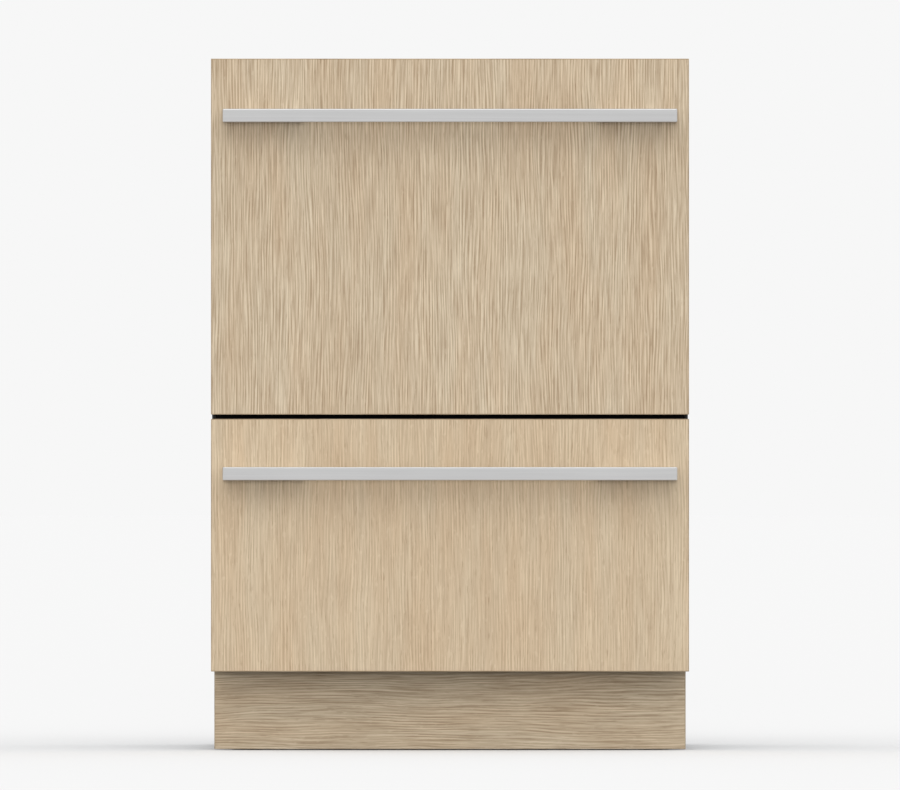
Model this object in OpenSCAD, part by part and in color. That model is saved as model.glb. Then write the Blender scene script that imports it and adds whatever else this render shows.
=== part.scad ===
// Built-in dishwasher with two pull-out drawers behind timber fronts with bar handles.
// Millimetres. +Z is up, the fronts face -Y, and the origin is on the floor, below the middle of
// the whole object's box. Both drawers are shut and both lids are down.

/* [Fronts] */
// Width of the timber fronts
front_w = 597; // [595:0.5:602]
// Thickness of the timber fronts
front_t = 18; // [16:0.5:22]
// Height of the upper drawer's front
upper_front_h = 444.5; // [430:0.5:470]
// Height of the lower drawer's front
lower_front_h = 315.5; // [305:0.5:340]
// Open gap between the two fronts
front_gap = 5.5; // [3:0.5:8]
// Height of the lower front's bottom edge above the floor
front_lift = 98.5; // [96:0.5:120]
// Small chamfer on the fronts' upright edges
front_edge = 0.8; // [0.3:0.1:2]

/* [Handles] */
// Distance from a front's side edge to the end of its handle
handle_inset = 15; // [6:0.5:48]
// Height of a handle's bar
handle_h = 16.5; // [12:0.5:24]
// Thickness of a handle's bar, front to back
handle_t = 11; // [8:0.5:14]
// Distance that a handle stands out of its front
handle_reach = 38; // [30:0.5:50]
// Length of each solid end of a handle
handle_end_l = 100.5; // [60:0.5:140]
// Distance from the upper front's top edge down to its handle
upper_handle_drop = 63; // [50:0.5:90]
// Distance from the lower front's top edge down to its handle
lower_handle_drop = 60; // [50:0.5:90]
// Chamfer along a handle's edges
handle_edge = 1.5; // [0.5:0.1:2]
// Radius of the bore for a handle's screw
handle_bore_r = 2.1; // [1.6:0.1:3]

/* [Plinth] */
// Distance from a front's side edge in to the plinth's side edge
plinth_inset = 3.75; // [2.5:0.25:18]
// Thickness of the plinth board
plinth_t = 16; // [12:1:18]
// Height of the plinth board's top edge above the floor
plinth_top = 100; // [98:0.5:101]
// Distance of the plinth board behind the face of the fronts
plinth_setback = 50; // [46:1:52]

/* [Chassis] */
// Distance that a front stands out past the chassis on each side
front_overlap = 4; // [2.5:0.25:5.5]
// Depth of everything behind the timber fronts
body_d = 553; // [550:1:570]
// Thickness of the sheet steel
sheet = 1; // [0.8:0.1:1.2]
// Width of the folded edges of the sheet panels
fold_w = 13; // [8:0.5:13.5]
// Depth of the pressed panels' stiffening recesses
press_d = 2.5; // [1.5:0.5:4]
// Height of the base tray's underside above the floor
base_z = 40; // [36:1:44]
// Height of the base tray
base_h = 30; // [24:1:34]
// Wall of the moulded plastic pieces
moulded = 3; // [2.5:0.5:3.5]
// Height of the front rail between the drawers
centre_rail_h = 20; // [14:1:24]
// Height of the front rail under the top
top_rail_h = 15; // [10:1:17]
// Thickness of the rubber trims on the chassis edges
trim_t = 2.4; // [1.5:0.1:2.8]
// Width of the rubber trims outside the chassis
trim_w = 3; // [2:0.1:3]
// Radius of a foot's spindle
spindle_r = 5; // [4:0.5:6]
// Radius of a foot's pad
pad_r = 20; // [16:1:24]
// Travel of a foot
foot_travel = 45; // [20:1:45]

/* [Runners] */
// Distance from a runner's rear end to the back of the chassis
runner_rear_gap = 23.3; // [18:0.1:53]
// Height of a runner
runner_h = 46; // [44:1:50]
// Thickness of a runner, across the machine
runner_t = 13; // [12.5:0.1:13.5]
// Thickness of the runners' rolled steel
runner_sheet = 1.4; // [1.2:0.1:1.6]
// Diameter of the runners' balls
ball_d = 4; // [3.6:0.1:4.2]
// Number of balls in a retainer
balls = 5; // [3:1:8]

/* [Tubs] */
// Distance from a tub's side walls to the side of the chassis
tub_side_gap = 28.5; // [27.5:0.25:34]
// Distance from a tub's rear wall to the back of the chassis
tub_rear_gap = 28.3; // [22:0.1:40]
// Distance from the front edge of the chassis to a tub's front wall
tub_front_gap = 29; // [24:0.5:34]
// Radius of a tub's upright corners
tub_r = 42; // [30:1:55]
// Radius between a tub's walls and floor
tub_floor_r = 24; // [14:1:30]
// Width of a tub's rim outside its walls
rim_w = 13; // [12:0.5:13]
// Depth of the round sump below a tub's floor
sump_h = 14; // [12:1:18]
// Radius of the round sump
sump_r = 150; // [130:1:170]
// Height of the wash motor under the sump
motor_h = 46; // [36:1:46]
// Radius of the wash motor
motor_r = 74; // [60:1:90]
// Radius of the motor's outlet tube, on which the spray arm turns
outlet_r = 14; // [10:0.5:16]

/* [Lids] */
// Thickness of a lid
lid_t = 12; // [8:0.5:13]
// Height of the seal between a rim and its lid
seal_h = 5; // [4:0.5:6]
// Distance that a lid lifts before its drawer can open
lid_lift = 10; // [6:0.5:10]
// Radius of the pins that guide a lid
lid_pin_r = 3; // [2.5:0.25:3.5]

/* [Racks] */
// Room between a rack and the tub's side walls
rack_side_gap = 10; // [9:0.5:23]
// Room between a rack and the tub's front and rear walls
rack_end_gap = 18; // [16:0.5:28]
// Radius of a rack's wires
wire_r = 2; // [1.8:0.1:2.4]
// Radius of the tines' wires
tine_r = 1.6; // [1.3:0.1:1.7]
// Spacing that a rack's wires come close to
wire_pitch = 46; // [40:1:60]
// Room between a row's end and its last tine
tine_end = 19.8; // [15:0.2:25]
// Number of tines in a row
tines = 10; // [6:1:10]
// Height of the tines
tine_h = 92; // [60:1:96]
// Height of a rack above its tub's floor
rack_lift = 36; // [32:1:40]
// Width of the folding cup shelf
cup_shelf_w = 84; // [60:1:86]
// Height of the cup shelf above its rack's floor
cup_shelf_z = 128; // [115:1:150]

/* [Cutlery baskets] */
// Width of a cutlery basket
basket_w = 72; // [60:1:76]
// Length of a cutlery basket
basket_l = 232; // [180:1:250]
// Height of a cutlery basket
basket_h = 118; // [90:1:124]
// Compartments in a cutlery basket
basket_cells = 3; // [2:1:4]

/* [Hidden] */
$fn = 48;
fit = 0.3;        // between pieces of different bodies, and between pieces that only lie together
run_fit = 0.1;    // between a pin and its bore
weld = 0.6;       // how far a rack's crossing wires sink into each other
UP = 0;
LO = 1;

// Heights
lower_z0 = front_lift;
lower_z1 = lower_z0 + lower_front_h;
upper_z0 = lower_z1 + front_gap;
upper_z1 = upper_z0 + upper_front_h;
front_z0 = [upper_z0, lower_z0];
front_z1 = [upper_z1, lower_z1];
chassis_top = upper_z1 - 2;
rail_z0 = [chassis_top - sheet - top_rail_h, (lower_z1 + upper_z0) / 2 - centre_rail_h / 2 + 1.4];
rail_h = [top_rail_h, centre_rail_h];
rim_z = [chassis_top - sheet - 4 - lid_lift - lid_t - seal_h, rail_z0[LO] - 20];
under_z = [rail_z0[LO] + centre_rail_h + 2, plinth_top + 4];
floor_z = [under_z[UP] + motor_h + sump_h, under_z[LO] + motor_h + sump_h];
floor_in = [floor_z[UP] + moulded, floor_z[LO] + moulded];
rack_z = [floor_in[UP] + rack_lift + fit, floor_in[LO] + rack_lift + fit];
rack_h = [rim_z[UP] - rack_z[UP] - 20, rim_z[LO] - rack_z[LO] - 20];
runner_z = [floor_z[UP] + 70, floor_z[LO] + 70];

// Depths
overall_d = handle_reach + front_t + body_d;
front_y = -overall_d / 2 + handle_reach;
tray_y = front_y + front_t;
tray_d = 21;
chassis_y = tray_y + tray_d + fit + trim_t;
back_y = overall_d / 2;
tub_y0 = chassis_y + tub_front_gap;
tub_d = back_y - tub_rear_gap - tub_y0;
tub_y = tub_y0 + tub_d / 2;
rail_d = tub_y0 - rim_w + 0.5 - chassis_y;
runner_y0 = chassis_y + 6;
runner_l = back_y - runner_rear_gap - runner_y0;
rack_d = tub_d - 2 * (moulded + rack_end_gap);

// Widths
chassis_w = front_w - 2 * front_overlap;
plinth_w = front_w - 2 * plinth_inset;
handle_l = front_w - 2 * handle_inset;
tub_w = chassis_w - 2 * tub_side_gap;
rack_w = tub_w - 2 * (moulded + rack_side_gap);
inner_x = chassis_w / 2 - sheet;
runner_x = inner_x - runner_t;
tray_w = front_w - 2;
lid_out = rim_w - 1.5;
lid_z = [rim_z[UP] + seal_h, rim_z[LO] + seal_h];
lid_w = tub_w + 2 * lid_out;
lid_d = tub_d + 2 * lid_out;
lid_rib = 78;
lid_ear_y = 150;
lid_ear_l = 22;
lid_pin_x = inner_x - 7.5;

// ---------- shapes that repeat ----------

module block(lo, hi) {
    translate(lo) cube(hi - lo);
}

module both_sides() {
    children();
    mirror([1, 0, 0]) children();
}

module rounded_rect(w, d, r) {
    square([w - 2 * r, d], center = true);
    square([w, d - 2 * r], center = true);
    for (x = [-1, 1], y = [-1, 1])
        translate([x * (w / 2 - r), y * (d / 2 - r)]) circle(r);
}

module rounded_ring(w, d, r, wall) {
    difference() {
        rounded_rect(w, d, r);
        rounded_rect(w - 2 * wall, d - 2 * wall, r - wall);
    }
}

// A bar along X whose outline is drawn in the YZ plane
module along_x(l) {
    translate([-l / 2, 0, 0]) rotate([90, 0, 90]) linear_extrude(l) children();
}

module rod_x(l, r) {
    rotate([0, 90, 0]) cylinder(h = l, r = r, center = true);
}

module rod_y(l, r) {
    rotate([90, 0, 0]) cylinder(h = l, r = r, center = true);
}

module slot(l, w, h) {
    linear_extrude(h) rounded_rect(l, w, w / 2 - 0.01);
}

// A sheet pressed in by d over an area in the YZ plane: the recess and the step behind it
module pressing_out(w, h, d) {
    rotate([90, 0, 90]) linear_extrude(d) rounded_rect(w, h, 12);
}

// ---------- timber ----------

module timber_board(w, t, h) {
    linear_extrude(h) polygon([
        [-w / 2 + front_edge, 0], [w / 2 - front_edge, 0], [w / 2, front_edge], [w / 2, t - front_edge],
        [w / 2 - front_edge, t], [-w / 2 + front_edge, t], [-w / 2, t - front_edge], [-w / 2, front_edge]
    ]);
}

module front_panel(d) {
    color("burlywood") difference() {
        translate([0, front_y, front_z0[d]]) timber_board(front_w, front_t, front_z1[d] - front_z0[d]);
        for (x = [-1, 1])
            translate([x * (handle_l - handle_end_l) / 2, tray_y - front_t / 2, handle_z(d)])
                rod_y(front_t + 1, handle_bore_r + 0.4);
    }
}

module toe_kick() {
    color("tan")
        translate([0, front_y + plinth_setback, 1]) timber_board(plinth_w, plinth_t, plinth_top - 1);
}

plinth_back = front_y + plinth_setback + plinth_t;
base_y0 = plinth_back + 6;

// Steel angles that carry the plinth board on the base tray
module toe_kick_brackets() {
    color("silver") for (x = [-1, 1]) translate([x * plinth_w * 0.32, 0, 0]) difference() {
        union() {
            block([-15, plinth_back, base_z + base_h - 22], [15, plinth_back + 1.5, base_z + base_h + 14]);
            block([-15, plinth_back, base_z - 1.5], [15, base_y0 + 24, base_z]);
            block([-15, plinth_back, base_z - 1.5], [15, plinth_back + 1.5, base_z + base_h]);
        }
        translate([0, plinth_back, base_z + base_h + 5]) rod_y(10, 2.2);
        translate([0, base_y0 + 14, base_z - 2]) cylinder(h = 4, r = 2.2);
    }
}

// ---------- handles ----------

function handle_z(d) = front_z1[d] - (d == UP ? upper_handle_drop : lower_handle_drop) - handle_h / 2;

// One bar with two solid ends that stand on the front, and a finger gap between them
module handle(d) {
    y0 = front_y - handle_reach;
    gap_l = handle_l - 2 * handle_end_l;
    color("silver") difference() {
        intersection() {
            translate([0, 0, handle_z(d)]) along_x(handle_l) polygon([
                [y0 + handle_edge, -handle_h / 2], [front_y, -handle_h / 2], [front_y, handle_h / 2],
                [y0 + handle_edge, handle_h / 2], [y0, handle_h / 2 - handle_edge],
                [y0, -handle_h / 2 + handle_edge]
            ]);
            translate([0, 0, handle_z(d) - handle_h]) linear_extrude(2 * handle_h) difference() {
                polygon([
                    [-handle_l / 2, front_y], [-handle_l / 2, y0 + handle_edge / 2],
                    [-handle_l / 2 + handle_edge / 2, y0], [handle_l / 2 - handle_edge / 2, y0],
                    [handle_l / 2, y0 + handle_edge / 2], [handle_l / 2, front_y]
                ]);
                translate([-gap_l / 2, y0 + handle_t]) square([gap_l, handle_reach]);
            }
        }
        for (x = [-1, 1])
            translate([x * (handle_l - handle_end_l) / 2, front_y, handle_z(d)]) rod_y(30, handle_bore_r);
    }
}

// ---------- chassis ----------

side_z0 = base_z;
side_z1 = chassis_top - sheet - 0.2;

// The folded outline of a side panel, seen from above
module side_outline() {
    polygon([
        [inner_x + sheet, chassis_y], [inner_x + sheet, back_y - sheet - 0.2],
        [inner_x + sheet - fold_w, back_y - sheet - 0.2], [inner_x + sheet - fold_w, back_y - 2 * sheet - 0.2],
        [inner_x, back_y - 2 * sheet - 0.2], [inner_x, chassis_y + sheet],
        [inner_x + sheet - fold_w, chassis_y + sheet], [inner_x + sheet - fold_w, chassis_y]
    ]);
}

// The pressings that stiffen the side panels stand between the runners and the lids
side_press_w = 320;
side_press_low = [65, 42.5];     // from a runner's middle up to its pressing
side_press_gap = 22.65;          // from the lower pressing up to the lid's lifter
side_press_h = [90, lid_z[LO] - 4 - side_press_gap - runner_z[LO] - side_press_low[LO]];
side_press_z = [for (d = [UP, LO]) runner_z[d] + side_press_low[d] + side_press_h[d] / 2];

module side_panel() {
    color("gainsboro") difference() {
        union() {
            translate([0, 0, side_z0]) linear_extrude(side_z1 - side_z0) side_outline();
            for (d = [UP, LO])
                translate([inner_x - press_d, tub_y, side_press_z[d]])
                    pressing_out(side_press_w + 2 * sheet, side_press_h[d] + 2 * sheet, press_d + sheet / 2);
        }
        for (d = [UP, LO]) {
            translate([inner_x - press_d + sheet, tub_y, side_press_z[d]])
                pressing_out(side_press_w, side_press_h[d], press_d + 5);
            block([inner_x - fold_w, chassis_y - 1, runner_z[d] - runner_h / 2 - 3],
                  [inner_x, chassis_y + sheet + 1, runner_z[d] + runner_h / 2 + 3]);
            for (y = [40, runner_l - 60])
                translate([inner_x, runner_y0 + y, runner_z[d]]) rod_x(6, 2.2);
        }
        block([inner_x - fold_w, chassis_y - 1, side_z0 - 1], [inner_x + 2, base_y0 - 2, plinth_top + 2]);
        for (z = cabinet_hole_z) translate([cabinet_hole_x, chassis_y, z]) rod_y(6, cabinet_hole_r);
    }
}

// Holes in the front folds, through which the machine is screwed to the cupboards beside it
cabinet_hole_r = 2.5;
cabinet_hole_x = inner_x + sheet - fold_w / 2 + 0.5;
cabinet_hole_z = [rim_z[LO] - 60, rim_z[UP] - 60];

module left_side_panel() {
    mirror([1, 0, 0]) side_panel();
}

module right_side_panel() {
    side_panel();
}

service_w = 400;
service_z = base_z + base_h + 76;

module rear_panel() {
    press = [chassis_w * 0.36, 150];
    color("gainsboro") difference() {
        union() {
            block([-inner_x - sheet, back_y - sheet, base_z], [inner_x + sheet, back_y, chassis_top - sheet - 0.2]);
            for (x = [-1, 1], z = [0.34, 0.62, 0.88])
                translate([x * chassis_w * 0.225, back_y, chassis_top * z - 20]) rotate([0, 0, 90])
                    translate([-press_d - sheet / 2, 0, 0])
                        pressing_out(press[0] + 2 * sheet, press[1] + 2 * sheet, press_d);
        }
        for (x = [-1, 1], z = [0.34, 0.62, 0.88])
            translate([x * chassis_w * 0.225, back_y, chassis_top * z - 20]) rotate([0, 0, 90])
                translate([-press_d + sheet / 2, 0, 0]) pressing_out(press[0], press[1], press_d + 5);
        block([-service_w / 2, back_y - 10, base_z - 1], [service_w / 2, back_y + 1, service_z]);
    }
}

module top_panel() {
    drop = 6;
    color("gainsboro") difference() {
        union() {
            block([-inner_x - sheet, chassis_y, chassis_top - sheet], [inner_x + sheet, back_y, chassis_top]);
            both_sides()
                block([inner_x - 0.2 - sheet, chassis_y + rail_d + 4, chassis_top - drop],
                      [inner_x - 0.2, back_y - 2 * sheet - 0.5, chassis_top - sheet / 2]);
        }
        for (x = [-0.3, 0, 0.3], y = [-0.25, 0.25])
            translate([x * chassis_w, tub_y + y * tub_d, chassis_top - sheet - 1]) slot(90, 6, sheet + 2);
    }
}

// A front rail: a face plate that laps the side panels' folds, and a channel behind it
module rail(d) {
    z0 = rail_z0[d];
    half = inner_x + sheet - fold_w - 1.5;
    color([0.06, 0.06, 0.065]) union() {
        block([-inner_x, chassis_y - 1.5, z0], [inner_x, chassis_y, z0 + rail_h[d]]);
        block([-half, chassis_y - 1, z0], [half, chassis_y + rail_d - 1.5, z0 + 1.5]);
        block([-half, chassis_y - 1, z0 + rail_h[d] - 1.5], [half, chassis_y + rail_d - 1.5, z0 + rail_h[d]]);
    }
}

// Rubber strips on the front edges of the chassis, which the drawers close against
module side_trims() {
    x0 = inner_x + 0.3;
    x1 = inner_x + sheet + trim_w;
    color([0.05, 0.05, 0.05]) both_sides() union() {
        block([x0, chassis_y - trim_t, plinth_top + 4], [x1, chassis_y - 0.2, chassis_top - 1]);
        block([inner_x + sheet + 0.2, chassis_y - trim_t, plinth_top + 4], [x1, chassis_y + 12, chassis_top - 1]);
    }
}

module base_tray() {
    w = 2 * (inner_x - 0.3);
    y1 = back_y - 2 * sheet - 0.6;
    color("dimgray") difference() {
        union() {
            difference() {
                block([-w / 2, base_y0, base_z], [w / 2, y1, base_z + base_h]);
                block([-w / 2 + moulded, base_y0 + moulded, base_z + moulded],
                      [w / 2 - moulded, y1 - moulded, base_z + base_h + 1]);
            }
            for (p = foot_points) translate([p[0], p[1], base_z]) cylinder(h = base_h, r = spindle_r + 8);
            for (x = [-0.3, -0.1, 0.1, 0.3])
                block([x * w - 1.5, base_y0 + 1, base_z], [x * w + 1.5, y1 - 80, base_z + 12]);
        }
        for (p = foot_points) translate([p[0], p[1], base_z - 1]) cylinder(h = base_h + 2, r = spindle_r + run_fit);
        block([-service_w / 2 + 20, y1 - 10, base_z + 12], [service_w / 2 - 20, y1 + 1, base_z + base_h + 1]);
    }
}

foot_x = chassis_w / 2 - 40;
foot_y = [front_y + plinth_setback + plinth_t + pad_r + 14, back_y - 45];
foot_points = [[-foot_x, foot_y[0]], [foot_x, foot_y[0]], [-foot_x, foot_y[1]], [foot_x, foot_y[1]]];

// A levelling foot, screwed right in
module foot(i) {
    color([0.1, 0.1, 0.1]) translate([foot_points[i][0], foot_points[i][1], 0]) union() {
        cylinder(h = 3, r = pad_r);
        translate([0, 0, 3]) cylinder(h = 6, r1 = pad_r, r2 = pad_r * 0.55);
        translate([0, 0, 8]) cylinder(h = 11, r = spindle_r + 5, $fn = 6);
        translate([0, 0, 18]) cylinder(h = base_z + foot_travel - 11, r = spindle_r);
    }
}

// ---------- services at the rear ----------

service_y = back_y - 56;
tray_floor_z = base_z + moulded + fit;
inlet_x = -130;
drain_x = -20;
mains_x = 110;
inlet_r = 13.2;
drain_r = 9.5;
gland_r = 5.5;
inlet_z = base_z + 56;
drain_z = base_z + 50;
gland_z = base_z + 46;

// A double solenoid valve, with one thread for the supply and a spout for each tub
module inlet_valve() {
    color("white") translate([inlet_x, 0, 0]) difference() {
        union() {
            block([-30, service_y, tray_floor_z], [30, service_y + 3, inlet_z]);
            block([-30, service_y, tray_floor_z], [30, service_y + 26, tray_floor_z + 3]);
            translate([0, service_y + 14, inlet_z]) rod_y(28, 17);
            translate([0, back_y - 15, inlet_z]) rod_y(30, inlet_r);
            for (x = [-1, 1]) {
                translate([x * 22, service_y - 12, inlet_z]) rod_y(36, 13);
                translate([x * 22, service_y - 12, inlet_z - 24]) cylinder(h = 24, r = 5);
            }
        }
        translate([0, back_y, inlet_z]) rod_y(30, inlet_r - 3);
    }
}

module drain_outlet() {
    color("darkgray") translate([drain_x, 0, 0]) difference() {
        union() {
            block([-24, service_y + 6, tray_floor_z], [24, service_y + 9, drain_z + 16]);
            block([-24, service_y + 6, tray_floor_z], [24, service_y + 30, tray_floor_z + 3]);
            translate([0, service_y + 20, drain_z]) rod_y(24, 15);
            translate([0, back_y - 14, drain_z]) rod_y(28, drain_r);
            for (x = [-1, 1]) translate([x * 12, service_y - 8, drain_z]) rod_y(32, 7);
        }
        translate([0, back_y, drain_z]) rod_y(40, drain_r - 2);
    }
}

module mains_box() {
    h = 62;
    color("dimgray") translate([mains_x, 0, 0]) difference() {
        union() {
            difference() {
                block([-42, service_y - 6, tray_floor_z], [42, back_y - 22, tray_floor_z + h]);
                block([-42 + moulded, service_y - 6 + moulded, tray_floor_z + moulded],
                      [42 - moulded, back_y - 22 - moulded, tray_floor_z + h - moulded]);
            }
            block([-14, service_y + 4, tray_floor_z + 1], [14, service_y + 20, tray_floor_z + 24]);
            translate([0, back_y - 16, gland_z]) rod_y(14, 11);
            translate([0, back_y - 12, gland_z]) rotate([-90, 0, 0]) cylinder(h = 7, r = 12, $fn = 6);
        }
        translate([0, back_y - 15, gland_z]) rod_y(24, gland_r);
    }
}

// ---------- runners ----------

web_gap = 0.8;                                           // between the webs of two members
flange_step = runner_sheet + ball_d + 2 * run_fit;       // from one member's flange to the next
mid_x0 = inner_x - runner_sheet - web_gap - runner_sheet; // the middle member's web
inner_reach = runner_t - 2 * runner_sheet - web_gap;

// A channel along Y. Its web's outer face is at x, and its flanges point to -X or +X.
module channel(x, way, h, reach, l, y0) {
    translate([x, y0 + l, 0]) rotate([90, 0, 0]) linear_extrude(l) union() {
        translate([way > 0 ? 0 : -runner_sheet, -h / 2]) square([runner_sheet, h]);
        for (z = [-h / 2, h / 2 - runner_sheet])
            translate([way > 0 ? 0 : -reach, z]) square([reach, runner_sheet]);
    }
}

module runner_channels() {
    color("lightgray") both_sides() for (d = [UP, LO]) translate([0, 0, runner_z[d]]) difference() {
        channel(inner_x - 0.01, -1, runner_h, inner_reach - 1.2, runner_l, runner_y0);
        for (y = [40, runner_l - 60]) translate([inner_x, runner_y0 + y, 0]) rod_x(8, 2.2);
    }
}

// Balls held in a strip, on one side of a flange
module retainer(y0, z) {
    pitch = 4.5 * ball_d;
    x = mid_x0 - ball_d / 2 - 1;
    translate([x, y0, z]) {
        for (i = [0:balls - 1]) translate([0, i * pitch, 0]) sphere(r = ball_d / 2);
        translate([-0.5, -ball_d, -ball_d / 2 + 0.7]) cube([1, (balls - 1) * pitch + 2 * ball_d, ball_d - 1.4]);
    }
}

module runner_middles(d) {
    h = runner_h - 2 * flange_step;
    span = balls * 4.5 * ball_d;
    color("silver") both_sides() translate([0, 0, runner_z[d]]) {
        channel(mid_x0 + runner_sheet, -1, h, inner_reach, runner_l, runner_y0);
        for (z = [-1, 1]) {
            retainer(runner_y0 + runner_l - span, z * (runner_h / 2 - runner_sheet - ball_d / 2 - run_fit));
            retainer(runner_y0 + 12, z * (h / 2 - runner_sheet - ball_d / 2 - run_fit));
        }
    }
}

module runner_inners(d) {
    h = runner_h - 4 * flange_step;
    color("lightgray") both_sides() translate([0, 0, runner_z[d]]) difference() {
        channel(runner_x, 1, h, inner_reach - 1.2, runner_l, runner_y0);
        for (y = [60, runner_l - 90]) translate([runner_x, runner_y0 + y, 0]) rod_x(8, 2.2);
    }
}

// ---------- drawer fronts ----------

control_h = 40;

// The steel pan behind a timber front
module front_tray(d) {
    z0 = front_z0[d] + 3.5;
    z1 = front_z1[d] - 5 - control_h - 0.2;
    color([0.13, 0.13, 0.14]) difference() {
        block([-tray_w / 2, tray_y, z0], [tray_w / 2, tray_y + tray_d, z1]);
        block([-tray_w / 2 + 1.2, tray_y + 1.2, z0 + 1.2], [tray_w / 2 - 1.2, tray_y + tray_d + 1, z1 - 1.2]);
        for (x = [-1, 1])
            translate([x * (handle_l - handle_end_l) / 2, tray_y, handle_z(d)]) rod_y(10, 6);
        for (x = [-0.44, 0, 0.44], z = [z0 + 30, z1 - 30])
            translate([x * tray_w, tray_y, z]) rod_y(10, 2.2);
    }
}

strip_y = tray_y + tray_d / 2 - 0.2;   // the middle of the strip's hollow
key_x = -tray_w / 2 + 62.5;
display_l = 240;
display_x = key_x + 45 + display_l / 2;
vents = 14;
vent_pitch = 10;
vents_x = tray_w / 2 - 57.5 - (vents - 1) * vent_pitch;
key_r = 6.3;
key_travel = 1;

// The moulded strip along the top of a drawer's front: key, display recess and drying vent
module control_housing(d) {
    z1 = front_z1[d] - 5;
    z0 = z1 - control_h;
    y1 = tray_y + tray_d;
    color([0.2, 0.2, 0.21]) difference() {
        translate([0, tray_y, 0]) along_x(tray_w) polygon([
            [0.2, z0], [tray_d, z0], [tray_d, z1 - 4], [tray_d - 4, z1], [0.2, z1]
        ]);
        block([-tray_w / 2 + moulded, tray_y + 2.2, z0 - 1], [tray_w / 2 - moulded, y1 - 2.5, z1 - moulded]);
        translate([key_x, strip_y, z0 + 10]) cylinder(h = control_h, r = key_r + run_fit);
        translate([display_x, strip_y, z1 - 0.8]) slot(display_l, 10, 5);
        for (i = [0:vents - 1]) translate([vents_x + i * vent_pitch, strip_y, z1 - 6]) rotate([0, 0, 90]) slot(11, 4, 12);
        for (x = [-1, 1])
            translate([x * (handle_l - handle_end_l) / 2, tray_y, handle_z(d)]) rod_y(10, 6);
    }
}

module power_key(d) {
    z1 = front_z1[d] - 5;
    color("silver") translate([key_x, strip_y, z1 - moulded]) union() {
        translate([0, 0, -2.6]) cylinder(h = 2, r = key_r + 1.2);
        translate([0, 0, -0.7]) cylinder(h = moulded + 1.9, r = key_r);
    }
}

// ---------- tubs ----------

// An upright outline with round lower corners, a little wider than w so that its arcs cross the walls
module bowl_outline(w, h, r) {
    half = w / 2 + 1;
    translate([-half, r]) square([2 * half, h]);
    translate([r - half, 0]) square([2 * (half - r), r + 1]);
    for (x = [-1, 1]) translate([x * (half - r), r]) circle(r);
}

// A box with round upright corners and round lower edges, up to height h
module tub_form(w, d, h, r, floor_r) {
    intersection() {
        linear_extrude(h) rounded_rect(w, d, r);
        along_x(w + 10) bowl_outline(d, h + 10, floor_r);
        rotate([0, 0, 90]) along_x(d + 10) bowl_outline(w, h + 10, floor_r);
    }
}

dispenser_x = -95;
dispenser_z = [rim_z[UP] - 110, rim_z[LO] - 95];
dispenser_cup = [60, 24, 52];
frame_x = tub_w / 2 - 41;

module tub(d) {
    h = rim_z[d] - floor_z[d];
    bowl_z = floor_z[d] - sump_h;
    color([0.72, 0.73, 0.74]) difference() {
        union() {
            translate([0, tub_y, floor_z[d]]) tub_form(tub_w, tub_d, h, tub_r, tub_floor_r);
            translate([0, tub_y, rim_z[d] - 3]) linear_extrude(3)
                rounded_rect(tub_w + 2 * rim_w, tub_d + 2 * rim_w, tub_r + rim_w);
            translate([0, tub_y, rim_z[d] - 9]) linear_extrude(7)
                rounded_rect(tub_w + 6, tub_d + 6, tub_r + 3);
            translate([0, tub_y, bowl_z]) cylinder(h = sump_h + 1, r = sump_r + moulded);
            tub_bosses(d);
            tub_front_frame(d);
        }
        translate([0, tub_y, floor_in[d]])
            tub_form(tub_w - 2 * moulded, tub_d - 2 * moulded, h, tub_r - moulded, tub_floor_r - moulded);
        translate([0, tub_y, bowl_z + moulded]) cylinder(h = sump_h + 5, r = sump_r);
        translate([0, tub_y, bowl_z - 1]) cylinder(h = 10, r = outlet_r + 4);
        translate([dispenser_x - dispenser_cup[0] / 2 - 2.3, tub_y0 - 6, dispenser_z[d] - dispenser_cup[2] / 2 - 2.3])
            cube([dispenser_cup[0] + 4.6, moulded + 14, dispenser_cup[2] + 4.6]);
        translate([dispenser_x + cap_x, tub_y0, dispenser_z[d]]) rod_y(20, cap_stem_r + 3.3);
    }
    color([0.72, 0.73, 0.74]) rack_rests(d);
}

// Side ledges that sit on the runners, and upright ribs
module tub_bosses(d) {
    both_sides() {
        block([tub_w / 2 - 1, tub_y0 + tub_r, runner_z[d] - 12],
              [runner_x - fit, tub_y0 + tub_d - tub_r, runner_z[d] + 12]);
        for (y = [-0.32, -0.11, 0.11, 0.32])
            block([tub_w / 2 - 1, tub_y + y * tub_d - 1.5, floor_z[d] + tub_floor_r],
                  [tub_w / 2 + 5, tub_y + y * tub_d + 1.5, rim_z[d] - 2]);
    }
    for (x = [-0.34, -0.11, 0.11, 0.34])
        block([x * tub_w - 1.5, tub_y0 + tub_d - 1, floor_z[d] + tub_floor_r],
              [x * tub_w + 1.5, tub_y0 + tub_d + 6, rim_z[d] - 2]);
}

// The frame on a tub's front wall that the drawer front is screwed to
module tub_front_frame(d) {
    y0 = tray_y + tray_d + 0.2;
    z0 = floor_z[d] + tub_floor_r + 6;
    z1 = rim_z[d] - 24;
    difference() {
        block([-frame_x, y0, z0], [frame_x, y0 + 3, z1]);
        block([-frame_x + 30, y0 - 1, z0 + 24], [frame_x - 30, y0 + 4, z1 - 24]);
        for (x = [-1, 1], z = [z0 + 12, z1 - 12]) translate([x * (frame_x - 12), y0, z]) rod_y(10, 2.2);
    }
    for (x = [-frame_x, frame_x - 3]) block([x, y0, z0], [x + 3, tub_y0 + 1, z1]);
    for (z = [z0, z1 - 3]) block([-frame_x, y0, z], [frame_x, tub_y0 + 1, z + 3]);
}

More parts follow.
